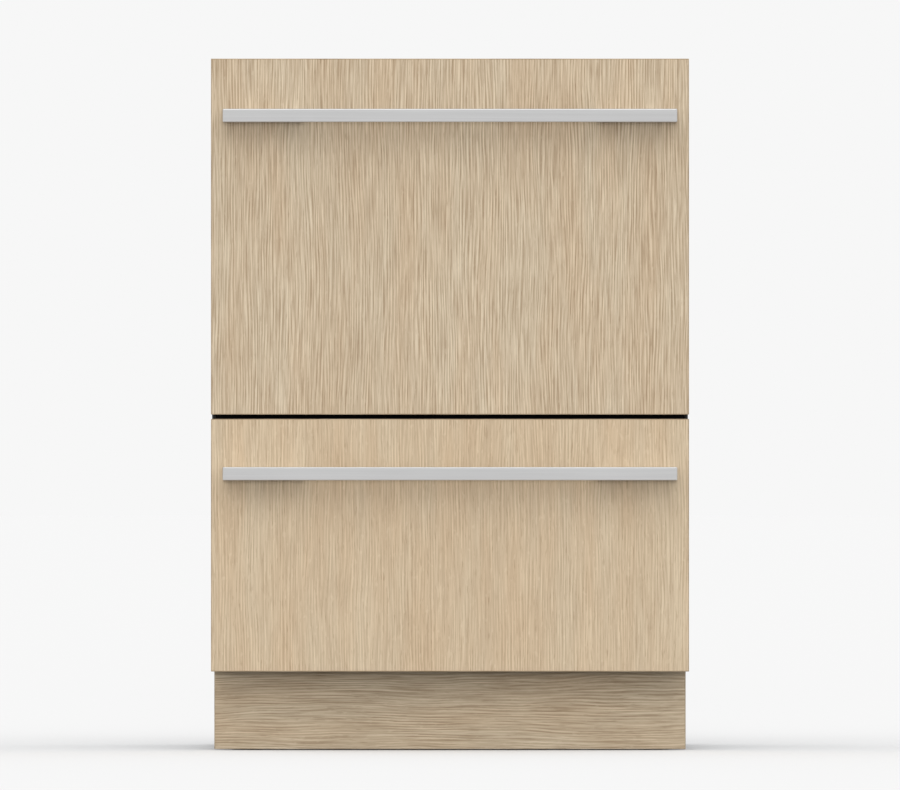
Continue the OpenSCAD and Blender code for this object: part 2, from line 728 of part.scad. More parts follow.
// Pads inside the tub on which the rack stands
module rack_rests(d) {
    x = tub_w / 2 - moulded + 1;
    both_sides() for (y = [-0.3, 0.3])
        translate([0, tub_y + y * tub_d + 20, floor_in[d]]) rotate([90, 0, 0]) linear_extrude(40)
            polygon([[x, rack_lift], [x - 17, rack_lift], [x - 17, rack_lift - 6], [x, rack_lift - 22]]);
}

// ---------- pump, filters and spray arm ----------

function outlet_top(d) = floor_in[d] + 11;

module wash_motor(d) {
    z1 = floor_z[d] - sump_h - 0.2;
    z0 = z1 - motor_h + 0.2;
    color([0.15, 0.16, 0.18]) translate([0, tub_y, 0]) difference() {
        union() {
            translate([0, 0, z1 - 8]) cylinder(h = 8, r = motor_r);
            translate([0, 0, z0 + 4]) cylinder(h = motor_h - 8, r = motor_r - 10);
            translate([0, 0, z0]) cylinder(h = 6, r = motor_r - 22);
            for (a = [0:30:330]) rotate([0, 0, a])
                block([motor_r - 14, -1.5, z0 + 6], [motor_r - 3, 1.5, z1 - 4]);
            block([motor_r - 20, -22, z1 - 26], [motor_r + 18, 22, z1 - 3]);
            translate([-motor_r - 26, 40, z0 + 18]) rotate([0, 90, 0]) cylinder(h = 60, r = 10);
            translate([0, 0, z1 - 4]) cylinder(h = outlet_top(d) - z1 + 4, r = outlet_r);
        }
        translate([0, 0, z1 - 2]) cylinder(h = 60, r = outlet_r - 2);
        translate([-motor_r - 27, 40, z0 + 18]) rotate([0, 90, 0]) cylinder(h = 26, r = 8);
        for (a = [15:30:345]) rotate([0, 0, a]) translate([motor_r - 5, 0, z1 - 10]) cylinder(h = 12, r = 2.2);
    }
}

filter_at = [0, -96];
filter_r = 33;
collar_h = 3;

// The perforated plate over the sump
module filter_plate(d) {
    color("silver") translate([0, tub_y, floor_in[d] + 0.2]) difference() {
        union() {
            cylinder(h = 1.5, r = sump_r + 9);
            cylinder(h = 4, r = outlet_r + 9);
            translate([filter_at[0], filter_at[1], 0]) cylinder(h = collar_h, r = filter_r + 5);
        }
        translate([0, 0, -1]) cylinder(h = 8, r = outlet_r + 1);
        translate([filter_at[0], filter_at[1], -1]) cylinder(h = 8, r = filter_r + run_fit);
        for (ring = [0:5], a = [0:360 / (14 + 4 * ring):359]) {
            p = (42 + ring * 19) * [cos(a), sin(a)];
            if (norm(p - filter_at) > filter_r + 12) translate([p[0], p[1], -1]) cylinder(h = 4, r = 2.6);
        }
    }
}

// A lift-out cup with slotted walls and a thumb grip on top
module drain_filter(d) {
    z0 = floor_z[d] - sump_h + moulded + fit;
    z1 = floor_in[d] + 0.2 + collar_h + fit;
    color([0.3, 0.32, 0.35]) translate([filter_at[0], tub_y + filter_at[1], 0]) difference() {
        union() {
            translate([0, 0, z0]) cylinder(h = z1 - z0, r = filter_r);
            translate([0, 0, z1]) cylinder(h = 2, r = filter_r + 3);
            translate([0, 0, z1 + 1]) block([-filter_r * 0.8, -2.5, 0], [filter_r * 0.8, 2.5, 8]);
        }
        translate([0, 0, z0 + 1.5]) cylinder(h = z1 - z0 - 3, r = filter_r - 2);
        for (a = [0:20:340]) rotate([0, 0, a])
            block([filter_r - 4, -2, z0 + 3], [filter_r + 1, 2, z1 - 3.5]);
        for (a = [45:30:135], s = [0, 180]) rotate([0, 0, a + s])
            translate([filter_r * 0.55, 0, z1 - 3]) slot(22, 3, 10);
    }
}

spray_r = 212;

// One blade of the spray arm, seen from above: a tapered arm that sweeps back. inset narrows it.
module blade_outline(inset) {
    tip = [spray_r - 15, -4];
    polygon([
        [0, -24 + inset], [spray_r * 0.5, -6 + inset], [tip[0], tip[1] - 12 + inset],
        [tip[0], tip[1] + 12 - inset], [spray_r * 0.5, 33 - inset], [spray_r * 0.22, 29 - inset], [0, 20 - inset]
    ]);
    translate(tip) circle(14 - inset);
}

module spray_arm(d) {
    z = floor_in[d] + 17;
    color([0.45, 0.47, 0.5]) translate([0, tub_y, 0]) difference() {
        union() {
            for (a = [0, 180]) rotate([0, 0, a]) {
                translate([0, 0, z]) linear_extrude(7) blade_outline(0);
                translate([0, 0, z + 6]) linear_extrude(3.5) blade_outline(5);
                for (i = [0:4]) translate([62 + 30 * i, 12 - 3 * i, z + 9]) cylinder(h = 2, r = 4);
            }
            translate([0, 0, z]) cylinder(h = 9.5, r = 27);
            translate([0, 0, floor_in[d] + 5]) cylinder(h = z + 12 - floor_in[d] - 5, r = outlet_r + 6);
        }
        translate([0, 0, floor_in[d] + 4]) cylinder(h = outlet_top(d) + fit - floor_in[d] - 4, r = outlet_r + run_fit);
        for (a = [0, 180], i = [0:4]) rotate([0, 0, a])
            translate([62 + 30 * i, 12 - 3 * i, z + 5]) cylinder(h = 10, r = 1.5);
    }
}

// ---------- lids ----------

module lid(d) {
    z = lid_z[d];
    color([0.8, 0.81, 0.82]) difference() {
        union() {
            translate([0, tub_y, z]) linear_extrude(2.5) rounded_rect(lid_w, lid_d, tub_r + lid_out);
            translate([0, tub_y, z]) linear_extrude(lid_t) rounded_ring(lid_w, lid_d, tub_r + lid_out, moulded);
            for (x = [-3:3])
                block([x * lid_rib - 1, tub_y - lid_d / 2 + 1, z + 1], [x * lid_rib + 1, tub_y + lid_d / 2 - 1, z + lid_t - 2]);
            for (y = [-2.5:2.5])
                block([-lid_w / 2 + 1, tub_y + y * lid_rib - 1, z + 1], [lid_w / 2 - 1, tub_y + y * lid_rib + 1, z + lid_t - 2]);
            both_sides() for (y = [-lid_ear_y, lid_ear_y])
                block([lid_w / 2 - 1, tub_y + y - lid_ear_l / 2, z], [inner_x - 3.2, tub_y + y + lid_ear_l / 2, z + 8]);
        }
        both_sides() for (y = [-lid_ear_y, lid_ear_y])
            translate([lid_pin_x, tub_y + y, z - 1]) cylinder(h = lid_t + 2, r = lid_pin_r + run_fit);
    }
}

// The seal hangs from the lid, with a lip that meets the tub's rim
module lid_seal(d) {
    color([0.25, 0.25, 0.26]) translate([0, tub_y, 0]) union() {
        translate([0, 0, lid_z[d] - 2.5]) linear_extrude(2.3)
            rounded_ring(lid_w - 1, lid_d - 1, tub_r + lid_out - 0.5, 8);
        translate([0, 0, rim_z[d] + fit]) linear_extrude(seal_h - 2.6)
            rounded_ring(lid_w - 4, lid_d - 4, tub_r + lid_out - 2, 2.5);
    }
}

// Brackets on the side panels: two guide pins for each lid's ears, and the gear motor that lifts it
module lid_actuators() {
    color([0.35, 0.36, 0.38]) both_sides() for (d = [UP, LO]) translate([0, tub_y, lid_z[d]]) {
        l = lid_ear_y + lid_ear_l / 2 + 3;
        top = lid_lift + 8 + fit + 0.1;
        block([inner_x - 2, -l, -4], [inner_x - 0.2, l, top]);
        for (y = [-lid_ear_y, lid_ear_y]) {
            translate([lid_pin_x, y, -3]) cylinder(h = top + 4, r = lid_pin_r);
            block([lid_pin_x - 5, y - 8, -4], [inner_x - 1, y + 8, -2]);
            block([lid_pin_x - 5, y - 8, top - 0.1], [inner_x - 1, y + 8, top + 1.6]);
        }
        block([inner_x - 9, -30, -3], [inner_x - 1, 30, top - 2]);
        for (y = [-30, 30]) translate([inner_x - 5, y, top / 2]) rod_y(24, 4);
    }
}

// ---------- dispenser ----------

door_w = dispenser_cup[0] + 8;
door_h = dispenser_cup[2] + 8;
door_travel = door_w + 2;

dispenser_y = tub_y0 + moulded + 0.2;
cap_r = 17;
cap_stem_r = 9;
cap_x = door_w / 2 + door_travel + cap_r + 1.5;

// Detergent cup with guides for its sliding cover, and the filler of the rinse aid tank beside it
module dispenser(d) {
    c = dispenser_cup;
    flange_x = [-c[0] / 2 - 10, cap_x + cap_r + 5];
    guide_x = cap_x - cap_r - 3;
    color([0.6, 0.62, 0.64]) translate([dispenser_x, dispenser_y, dispenser_z[d]]) difference() {
        union() {
            block([flange_x[0], 0, -door_h / 2 - 8], [flange_x[1], 3, door_h / 2 + 8]);
            block([-c[0] / 2 - 2, -c[1] + 3, -c[2] / 2 - 2], [c[0] / 2 + 2, 1, c[2] / 2 + 2]);
            for (s = [-1, 1]) scale([1, 1, s]) {
                block([flange_x[0] + 2, 2, door_h / 2 + fit], [guide_x, 7.2, door_h / 2 + 4]);
                block([flange_x[0] + 2, 6, door_h / 2 - 2], [guide_x, 7.2, door_h / 2 + 4]);
            }
            translate([cap_x, -7, 0]) rod_y(18, cap_stem_r + 3);
        }
        block([-c[0] / 2, -c[1] + 5, -c[2] / 2], [c[0] / 2, 10, c[2] / 2 - 0.01]);
        translate([cap_x, 0, 0]) rod_y(26, cap_stem_r + run_fit);
    }
}

// The twist cap of the rinse aid tank
module rinse_cap(d) {
    color([0.3, 0.32, 0.35]) translate([dispenser_x + cap_x, dispenser_y, dispenser_z[d]]) difference() {
        union() {
            translate([0, -4, 0]) rod_y(15, cap_stem_r);
            translate([0, 3 + fit + 2, 0]) rod_y(4, cap_r);
            block([-cap_r + 2, 3 + fit + 3, -2.5], [cap_r - 2, 3 + fit + 9, 2.5]);
        }
        for (a = [0:30:330]) translate([(cap_r + 1) * cos(a), 3 + fit + 2, (cap_r + 1) * sin(a)]) rod_y(6, 2.2);
    }
}

module dispenser_door(d) {
    color([0.75, 0.76, 0.78]) translate([dispenser_x, dispenser_y + 3 + fit / 2, dispenser_z[d]]) union() {
        block([-door_w / 2, 0, -door_h / 2], [door_w / 2, 2.5, door_h / 2]);
        block([-door_w / 2 + 6, 2, -12], [-door_w / 2 + 10, 6, 12]);
    }
}

// ---------- racks ----------

layer = 2 * wire_r - weld;     // from one layer of wires to the next
rack_in = wire_r + layer + wire_r + fit;
touch = 0.05;                  // between a wire and what is welded or clipped on it

// Evenly spaced positions across a span, about one pitch apart
function spread(span) = let (n = max(4, round(span / wire_pitch))) [for (i = [0:n]) -span / 2 + span * i / n];

// The floor's wires, and the rows of tines half way between its cross wires
floor_xs = spread(rack_w - 2 * rack_in - 2 * wire_r);
floor_ys = spread(rack_d - 2 * rack_in - 2 * wire_r);
function row_y(i) = (floor_ys[i] + floor_ys[i + 1]) / 2;
row_step = 2;
fold_row_y = row_y(row_step);
row_z = 3 * wire_r + touch;
axle_z = row_z + wire_r;
row_x0 = floor_xs[1];
row_x1 = floor_xs[len(floor_xs) - 4];
row_x = (row_x0 + row_x1) / 2;
row_l = row_x1 - row_x0;
tine_pitch = (row_l - 2 * tine_end) / (tines - 1);

// A flat grille: rods along X at the heights zs, and upright rods at the places xs
module grille(xs, zs, l, h) {
    for (x = xs) translate([x, 0, h / 2]) cylinder(h = h, r = wire_r, center = true);
    for (z = zs) translate([0, layer, z]) rod_x(l, wire_r);
}

module rack(d) {
    w = rack_w;
    l = rack_d;
    heights = [wire_r, rack_h[d] * 0.5, rack_h[d] - 2 * wire_r];
    end_l = w - 2 * rack_in;
    color([0.62, 0.64, 0.66]) translate([0, tub_y, rack_z[d]]) {
        // floor
        union() {
            for (x = floor_xs) translate([x, 0, wire_r]) rod_y(l - 2 * rack_in, wire_r);
            for (y = floor_ys) translate([0, y, wire_r + layer]) rod_x(end_l, wire_r);
        }
        // sides
        for (s = [-1, 1]) scale([s, 1, 1]) translate([w / 2 - wire_r, 0, 0]) rotate([0, 0, 90])
            grille(floor_ys, heights, l, rack_h[d]);
        // front and back
        for (s = [-1, 1]) scale([1, s, 1]) translate([0, -l / 2 + wire_r, 0])
            grille(floor_xs, heights, end_l, rack_h[d]);
        for (i = [2 * row_step:row_step:len(floor_ys) - 2]) translate([row_x, row_y(i), row_z]) tine_row(8);
        for (x = [row_x0, row_x1]) translate([x, fold_row_y, axle_z]) eyelet();
        if (d == UP) for (y = [-1, 1]) translate([cup_axle_x, y * cup_eyelet_y, cup_shelf_z]) cup_eyelet();
    }
}

// A wire with tines, which ends the given distance beyond the row's outer floor wires
module tine_row(extra) {
    rod_x(row_l + 2 * extra, wire_r);
    for (i = [0:tines - 1])
        translate([(i - (tines - 1) / 2) * tine_pitch, 0, 0]) cylinder(h = tine_h, r = tine_r);
}

// A clip on the rack's floor in which the folding row turns
module eyelet() {
    difference() {
        block([-3, -6, 2 * wire_r + touch - axle_z], [3, 6, 6]);
        rod_x(10, wire_r + run_fit);
    }
}

module fold_tines(d) {
    color([0.5, 0.52, 0.55]) translate([row_x, tub_y + fold_row_y, rack_z[d] + axle_z]) tine_row(6);
}

cup_l = 250;
cup_axle_r = 2.5;
cup_axle_x = -rack_w / 2 + rack_in + 5;
cup_eyelet_y = floor_ys[len(floor_ys) - 4];
cup_clip = [6, 6];   // how far a clip reaches beyond its bore, across and up

// A clip on the rack's side in which the cup shelf turns
module cup_eyelet() {
    difference() {
        block([-rack_w / 2 + 2 * wire_r + touch - cup_axle_x, -4, -cup_clip[1]], [cup_clip[0], 4, cup_clip[1]]);
        rod_y(20, cup_axle_r + run_fit);
    }
}

module cup_shelf() {
    d = UP;
    color([0.5, 0.52, 0.55]) translate([cup_axle_x, tub_y, rack_z[d] + cup_shelf_z]) difference() {
        union() {
            rod_y(cup_l, cup_axle_r);
            difference() {
                block([0, -cup_l / 2, -2], [cup_shelf_w, cup_l / 2, 2]);
                for (y = [-1, 1]) block([-1, y * cup_eyelet_y - 5, -3], [norm(cup_clip) + 2 * fit, y * cup_eyelet_y + 5, 3]);
            }
            for (y = [-1, 1]) translate([0, y * cup_eyelet_y, 0]) rod_y(12, cup_axle_r);
            block([cup_shelf_w - 3, -cup_l / 2, -2], [cup_shelf_w, cup_l / 2, 9]);
        }
        for (i = [0:9]) translate([cup_shelf_w / 2 + 3, (i - 4.5) * cup_l / 10.6, -5]) slot(cup_shelf_w - 26, 12, 14);
    }
}

basket_x = rack_w / 2 - rack_in - basket_w / 2 - 4;
basket_y = -rack_d / 2 + rack_in + basket_l / 2 + 10;

// An open cutlery box with slotted walls, divisions and a handle bar
module cutlery_basket(d) {
    cell = (basket_l - 2.5) / basket_cells;
    z0 = rack_z[d] + wire_r + layer + wire_r + fit;
    color([0.55, 0.57, 0.6]) translate([basket_x, tub_y + basket_y, z0]) difference() {
        union() {
            block([-basket_w / 2, -basket_l / 2, 0], [basket_w / 2, basket_l / 2, basket_h]);
            block([-basket_w / 2 - 2, -basket_l / 2 - 2, basket_h - 7], [basket_w / 2 + 2, basket_l / 2 + 2, basket_h]);
        }
        for (i = [0:basket_cells - 1])
            block([-basket_w / 2 + 2.5, -basket_l / 2 + 2.5 + i * cell, 2.5],
                  [basket_w / 2 - 2.5, -basket_l / 2 + (i + 1) * cell, basket_h + 1]);
        for (z = [14:30:basket_h - 30]) {
            for (i = [0:8]) translate([0, (i - 4) * basket_l / 9.6, z])
                block([-basket_w, -8, 0], [basket_w, 8, 20]);
            for (x = [-1, 0, 1]) translate([x * basket_w / 3.8, 0, z])
                block([-6, -basket_l, 0], [6, basket_l, 20]);
        }
    }
}

// ---------- nodes ----------

left_side_panel();
right_side_panel();
rear_panel();
top_panel();
rail(UP);  // top_rail
rail(LO);  // centre_rail
base_tray();
side_trims();
toe_kick();
toe_kick_brackets();
inlet_valve();
drain_outlet();
mains_box();
runner_channels();
lid_actuators();
foot(0);  // front_left_foot
foot(1);  // front_right_foot
foot(2);  // rear_left_foot
foot(3);  // rear_right_foot
lid(UP);  // upper_lid
lid_seal(UP);  // upper_lid_seal
lid(LO);  // lower_lid
lid_seal(LO);  // lower_lid_seal
front_panel(UP);  // upper_front_panel
handle(UP);  // upper_handle
front_tray(UP);  // upper_front_tray
control_housing(UP);  // upper_control_housing
power_key(UP);  // upper_power_key
tub(UP);  // upper_tub
spray_arm(UP);  // upper_spray_arm
filter_plate(UP);  // upper_filter_plate
drain_filter(UP);  // upper_drain_filter
rack(UP);  // upper_rack
fold_tines(UP);  // upper_fold_tines
cup_shelf();  // upper_cup_shelf
cutlery_basket(UP);  // upper_cutlery_basket
dispenser(UP);  // upper_dispenser
dispenser_door(UP);  // upper_dispenser_door
rinse_cap(UP);  // upper_rinse_cap
wash_motor(UP);  // upper_wash_motor
runner_middles(UP);  // upper_runner_middles
runner_inners(UP);  // upper_runner_inners
front_panel(LO);  // lower_front_panel
handle(LO);  // lower_handle
front_tray(LO);  // lower_front_tray
control_housing(LO);  // lower_control_housing
power_key(LO);  // lower_power_key
tub(LO);  // lower_tub
spray_arm(LO);  // lower_spray_arm
filter_plate(LO);  // lower_filter_plate
drain_filter(LO);  // lower_drain_filter
rack(LO);  // lower_rack
fold_tines(LO);  // lower_fold_tines
cutlery_basket(LO);  // lower_cutlery_basket
dispenser(LO);  // lower_dispenser
dispenser_door(LO);  // lower_dispenser_door
rinse_cap(LO);  // lower_rinse_cap
wash_motor(LO);  // lower_wash_motor
runner_middles(LO);  // lower_runner_middles
runner_inners(LO);  // lower_runner_inners
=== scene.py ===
"""Looks of a built-in dishwasher with two pull-out drawers behind oak fronts with bar handles."""
import logging
import math
from collections.abc import Callable, Iterable, Sequence
from dataclasses import dataclass
from enum import Enum

import bpy
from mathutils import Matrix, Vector


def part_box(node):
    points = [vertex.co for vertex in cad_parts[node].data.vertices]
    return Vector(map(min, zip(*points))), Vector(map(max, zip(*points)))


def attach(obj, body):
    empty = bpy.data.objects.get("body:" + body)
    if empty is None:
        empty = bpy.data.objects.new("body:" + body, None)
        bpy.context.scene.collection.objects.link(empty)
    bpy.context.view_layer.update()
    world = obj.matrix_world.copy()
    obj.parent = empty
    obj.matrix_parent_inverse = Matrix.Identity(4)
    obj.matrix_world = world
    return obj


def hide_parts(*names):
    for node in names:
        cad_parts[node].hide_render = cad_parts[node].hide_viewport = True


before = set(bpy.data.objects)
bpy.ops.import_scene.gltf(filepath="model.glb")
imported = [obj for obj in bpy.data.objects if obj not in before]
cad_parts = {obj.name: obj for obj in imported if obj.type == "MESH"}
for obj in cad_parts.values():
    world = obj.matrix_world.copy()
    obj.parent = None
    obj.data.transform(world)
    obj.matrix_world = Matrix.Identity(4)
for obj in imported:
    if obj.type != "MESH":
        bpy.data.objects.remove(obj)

LOG = logging.getLogger("dishwasher")
MM = 0.001
CREST = (0.4, 0.6)  # where a thread's crest starts and ends, as shares of its pitch
Point = tuple[float, float, float]
Colour = tuple[float, float, float, float]


class Axis(Enum):
    """The three axes of the machine's frame."""

    X = 0
    Y = 1
    Z = 2


class GrainWay(Enum):
    """Which way a veneer's grain runs."""

    UPRIGHT = "upright"
    LEVEL = "level"
    DEEP = "deep"


# ---------- colours and shader node helpers ----------


def srgb(red: float, green: float, blue: float) -> Colour:
    """Turns an 8-bit display colour into the linear colour that shaders use.

    Args:
        red: Red, 0 to 255.
        green: Green, 0 to 255.
        blue: Blue, 0 to 255.

    Returns:
        The linear colour with full alpha.
    """
    def linear(value: float) -> float:
        """Linear value of one 8-bit channel."""
        v = value / 255
        return v / 12.92 if v <= 0.04045 else ((v + 0.055) / 1.055) ** 2.4

    return (linear(red), linear(green), linear(blue), 1.0)


class Graph:
    """A shader node tree that is written one node at a time."""

    def __init__(self, tree: bpy.types.NodeTree) -> None:
        """Keeps the tree.

        Args:
            tree: The node tree to add to.
        """
        self.tree = tree

    def set_input(self, socket: bpy.types.NodeSocket, value: object) -> None:
        """Links a socket into an input, or writes a plain value there.

        Args:
            socket: The input.
            value: An output socket, a number, or a sequence of numbers.
        """
        if isinstance(value, bpy.types.NodeSocket):
            self.tree.links.new(value, socket)
        else:
            socket.default_value = value

    def node(self, kind: str, inputs: dict | None = None, **settings: object) -> bpy.types.Node:
        """Adds a node.

        Args:
            kind: The node's type, such as ShaderNodeMath.
            inputs: Input names or numbers, with the value or socket for each.
            **settings: Attributes of the node itself.

        Returns:
            The new node.
        """
        made = self.tree.nodes.new(kind)
        for name, value in settings.items():
            setattr(made, name, value)
        for name, value in (inputs or {}).items():
            self.set_input(made.inputs[name], value)
        return made

    def math(self, operation: str, *values: object, clamp: bool = False) -> bpy.types.NodeSocket:
        """Adds a Math node and returns its output.

        Args:
            operation: The operation's name.
            *values: Its inputs, in order.
            clamp: Whether the result is held between 0 and 1.

        Returns:
            The output socket.
        """
        inputs = dict(enumerate(values))
        return self.node("ShaderNodeMath", inputs, operation=operation, use_clamp=clamp).outputs[0]

    def noise(
        self, vector: object, scale: float, detail: float = 2.0, rough: float = 0.5,
    ) -> bpy.types.NodeSocket:
        """Adds a noise texture and returns its value, 0 to 1.

        Args:
            vector: Where the pattern is read.
            scale: How many features there are to the unit.
            detail: Number of octaves.
            rough: Weight of the finer octaves.

        Returns:
            The output socket.
        """
        inputs = {"Vector": vector, "Scale": scale, "Detail": detail, "Roughness": rough}
        return self.node("ShaderNodeTexNoise", inputs).outputs[0]

    def spread(
        self, value: object, low: float, high: float, to_low: float = 0.0, to_high: float = 1.0,
    ) -> bpy.types.NodeSocket:
        """Maps low..high onto to_low..to_high, held at the ends.

        Args:
            value: What is mapped.
            low: Value that becomes to_low.
            high: Value that becomes to_high.
            to_low: First end of the result.
            to_high: Second end of the result.

        Returns:
            The output socket.
        """
        inputs = {"Value": value, "From Min": low, "From Max": high, "To Min": to_low, "To Max": to_high}
        return self.node("ShaderNodeMapRange", inputs).outputs[0]

    def blend(self, share: object, first: object, second: object, way: str = "MIX") -> bpy.types.NodeSocket:
        """Mixes two colours.

        Args:
            share: How much of the second colour there is.
            first: The first colour.
            second: The second colour.
            way: The mix node's blend type.

        Returns:
            The colour socket.
        """
        mix = self.node("ShaderNodeMix", data_type="RGBA", blend_type=way)
        self.set_input(mix.inputs[0], share)
        self.set_input(mix.inputs[6], first)
        self.set_input(mix.inputs[7], second)
        return mix.outputs[2]

    def shaded(self, base: object, level: object) -> bpy.types.NodeSocket:
        """Makes a colour lighter or darker.

        Args:
            base: The colour.
            level: What it is multiplied by.

        Returns:
            The colour socket.
        """
        tint = self.node("ShaderNodeCombineXYZ", {0: level, 1: level, 2: level}).outputs[0]
        return self.blend(1.0, base, tint, "MULTIPLY")

    def stretched(self, vector: object, x: float, y: float, z: float) -> bpy.types.NodeSocket:
        """Scales a vector by a different number along each axis.

        Args:
            vector: The vector.
            x: Scale along X.
            y: Scale along Y.
            z: Scale along Z.

        Returns:
            The vector socket.
        """
        return self.node("ShaderNodeVectorMath", {0: vector, 1: (x, y, z)}, operation="MULTIPLY").outputs[0]


@dataclass(frozen=True)
class Socket:
    """A named input or output of a shader node group."""

    name: str
    kind: str
    default: object = None


SKIN = (Socket("Color", "Color"), Socket("Roughness", "Float"), Socket("Height", "Float"))


class Effect:
    """A shader node group that several materials share."""

    name = "effect"
    inputs: tuple[Socket, ...] = ()
    outputs: tuple[Socket, ...] = ()

    def tree(self) -> bpy.types.NodeTree:
        """Finds the group, or builds it the first time.

        Returns:
            The node group.
        """
        found = bpy.data.node_groups.get(self.name)
        if found:
            return found
        tree = bpy.data.node_groups.new(self.name, "ShaderNodeTree")
        for way, sockets in (("INPUT", self.inputs), ("OUTPUT", self.outputs)):
            for socket in sockets:
                kind = f"NodeSocket{socket.kind}"
                made = tree.interface.new_socket(socket.name, in_out=way, socket_type=kind)
                if socket.default is not None:
                    made.default_value = socket.default
        graph = Graph(tree)
        given = graph.node("NodeGroupInput")
        results = self.draw(graph, given.outputs)
        graph.node("NodeGroupOutput", results)
        return tree

    def draw(self, graph: Graph, given: bpy.types.NodeOutputs) -> dict[str, object]:
        """Writes the group's nodes.

        Args:
            graph: The group's tree.
            given: The group's inputs.

        Returns:
            The socket for each output's name.
        """
        raise NotImplementedError

    def place(self, graph: Graph, inputs: dict) -> bpy.types.NodeOutputs:
        """Puts the group into a material.

        Args:
            graph: The material's tree.
            inputs: Values or sockets for the group's inputs.

        Returns:
            The group node's outputs.
        """
        made = graph.node("ShaderNodeGroup", node_tree=self.tree())
        for name, value in inputs.items():
            graph.set_input(made.inputs[name], value)
        return made.outputs


class OakGrain(Effect):
    """Straight-grained oak veneer, with its grain along Z: lines, faint arches, colour bands and pores."""

    name = "oak_grain"
    inputs = (
        Socket("Vector", "Vector"), Socket("Pale", "Color"), Socket("Dark", "Color"), Socket("Warm", "Color"),
        Socket("Sheet", "Float", 0.0), Socket("Contrast", "Float", 1.0), Socket("Waviness", "Float", 1.0),
    )
    outputs = SKIN

    def draw(self, graph: Graph, given: bpy.types.NodeOutputs) -> dict[str, object]:
        """Writes the grain.

        Args:
            graph: The group's tree.
            given: The group's inputs.

        Returns:
            Colour, roughness and height.
        """
        parts = graph.node("ShaderNodeSeparateXYZ", {0: given["Vector"]}).outputs
        across = graph.math("ADD", parts[0], parts[1])
        along = parts[2]
        sheet = given["Sheet"]

        def field(
            position: object, per_metre: float, along_per_metre: float, detail: float,
        ) -> bpy.types.NodeSocket:
            """Noise that is drawn out along the grain."""
            x = graph.math("MULTIPLY", position, per_metre)
            z = graph.math("MULTIPLY", along, along_per_metre)
            place = graph.node("ShaderNodeCombineXYZ", {0: x, 1: sheet, 2: z}).outputs[0]
            return graph.noise(place, 1.0, detail)

        def shifted(position: object, by: object, amount: float) -> bpy.types.NodeSocket:
            """A position moved across the grain by a noise value."""
            centred = graph.math("SUBTRACT", by, 0.5)
            step = graph.math("MULTIPLY", graph.math("MULTIPLY", centred, amount), given["Waviness"])
            return graph.math("ADD", position, step)

        swept = shifted(across, field(across, 13.0, 4.5, 1.0), 0.013)
        wavy = shifted(swept, field(swept, 48.0, 15.0, 1.0), 0.0014)
        bands = field(swept, 17.0, 0.7, 2.0)
        hues = field(swept, 30.0, 4.5, 3.0)
        lines = field(wavy, 600.0, 17.0, 1.0)
        threads = field(wavy, 1150.0, 44.0, 1.0)
        pores = field(wavy, 1500.0, 62.0, 1.0)
        flecks = field(across, 260.0, 95.0, 1.0)
        drift = graph.math("MULTIPLY", field(wavy, 70.0, 7.0, 1.0), 16.0)
        turns = graph.math("MULTIPLY_ADD", wavy, 2 * math.pi * 276.0, drift)
        swell = graph.spread(field(swept, 42.0, 12.0, 1.0), 0.3, 0.7, 0.08, 0.30)
        rings = graph.math("MULTIPLY", graph.math("SINE", turns), swell)

        stripe = graph.math("ADD", graph.math("MULTIPLY", lines, 0.72), graph.math("MULTIPLY", threads, 0.28))
        stripe = graph.math("ADD", graph.spread(stripe, 0.28, 0.72), rings, clamp=True)
        middle = graph.math("SUBTRACT", stripe, 0.5)
        share = graph.math("ADD", graph.math("MULTIPLY", middle, given["Contrast"]), 0.5, clamp=True)
        colour = graph.blend(share, given["Dark"], given["Pale"])
        colour = graph.blend(graph.spread(hues, 0.38, 0.66, 0.0, 0.75), colour, given["Warm"], "MULTIPLY")
        colour = graph.blend(graph.spread(bands, 0.3, 0.7, 0.16, 0.0), colour, given["Dark"])
        fleck = graph.spread(flecks, 0.66, 0.74, 0.0, 0.22)
        colour = graph.blend(fleck, colour, given["Pale"])
        pore = graph.spread(pores, 0.62, 0.70)
        colour = graph.blend(graph.math("MULTIPLY", pore, 0.34), colour, given["Dark"], "MULTIPLY")
        rough = graph.math("ADD", graph.math("MULTIPLY", pore, 0.16), graph.spread(stripe, 0, 1, 0.50, 0.44))
        height = graph.math("SUBTRACT", graph.math("MULTIPLY", stripe, 0.35), pore)
        return {"Color": colour, "Roughness": rough, "Height": height}


class BrushLines(Effect):
    """Fine parallel brushing, drawn out along X, with a little wandering shade."""

    name = "brush_lines"
    inputs = (
        Socket("Vector", "Vector"), Socket("Base", "Color"), Socket("Roughness", "Float", 0.3),
    )
    outputs = SKIN

    def draw(self, graph: Graph, given: bpy.types.NodeOutputs) -> dict[str, object]:
        """Writes the brushing.

        Args:
            graph: The group's tree.
            given: The group's inputs.

        Returns:
            Colour, roughness and height.
        """
        hairs = graph.noise(graph.stretched(given["Vector"], 9.0, 2600.0, 2600.0), 1.0, 2.0, 0.6)
        runs = graph.noise(graph.stretched(given["Vector"], 2.2, 380.0, 380.0), 1.0, 2.0)
        cloud = graph.noise(given["Vector"], 7.0, 2.0)
        shade = graph.math("ADD", graph.math("MULTIPLY", hairs, 0.6), graph.math("MULTIPLY", runs, 0.4))
        level = graph.spread(shade, 0.3, 0.7, 0.93, 1.05)
        level = graph.math("MULTIPLY", level, graph.spread(cloud, 0.3, 0.7, 0.985, 1.015))
        colour = graph.shaded(given["Base"], level)
        swing = graph.math("MULTIPLY", graph.math("SUBTRACT", shade, 0.5), 0.12)
        rough = graph.math("ADD", given["Roughness"], swing, clamp=True)
        return {"Color": colour, "Roughness": rough, "Height": shade}


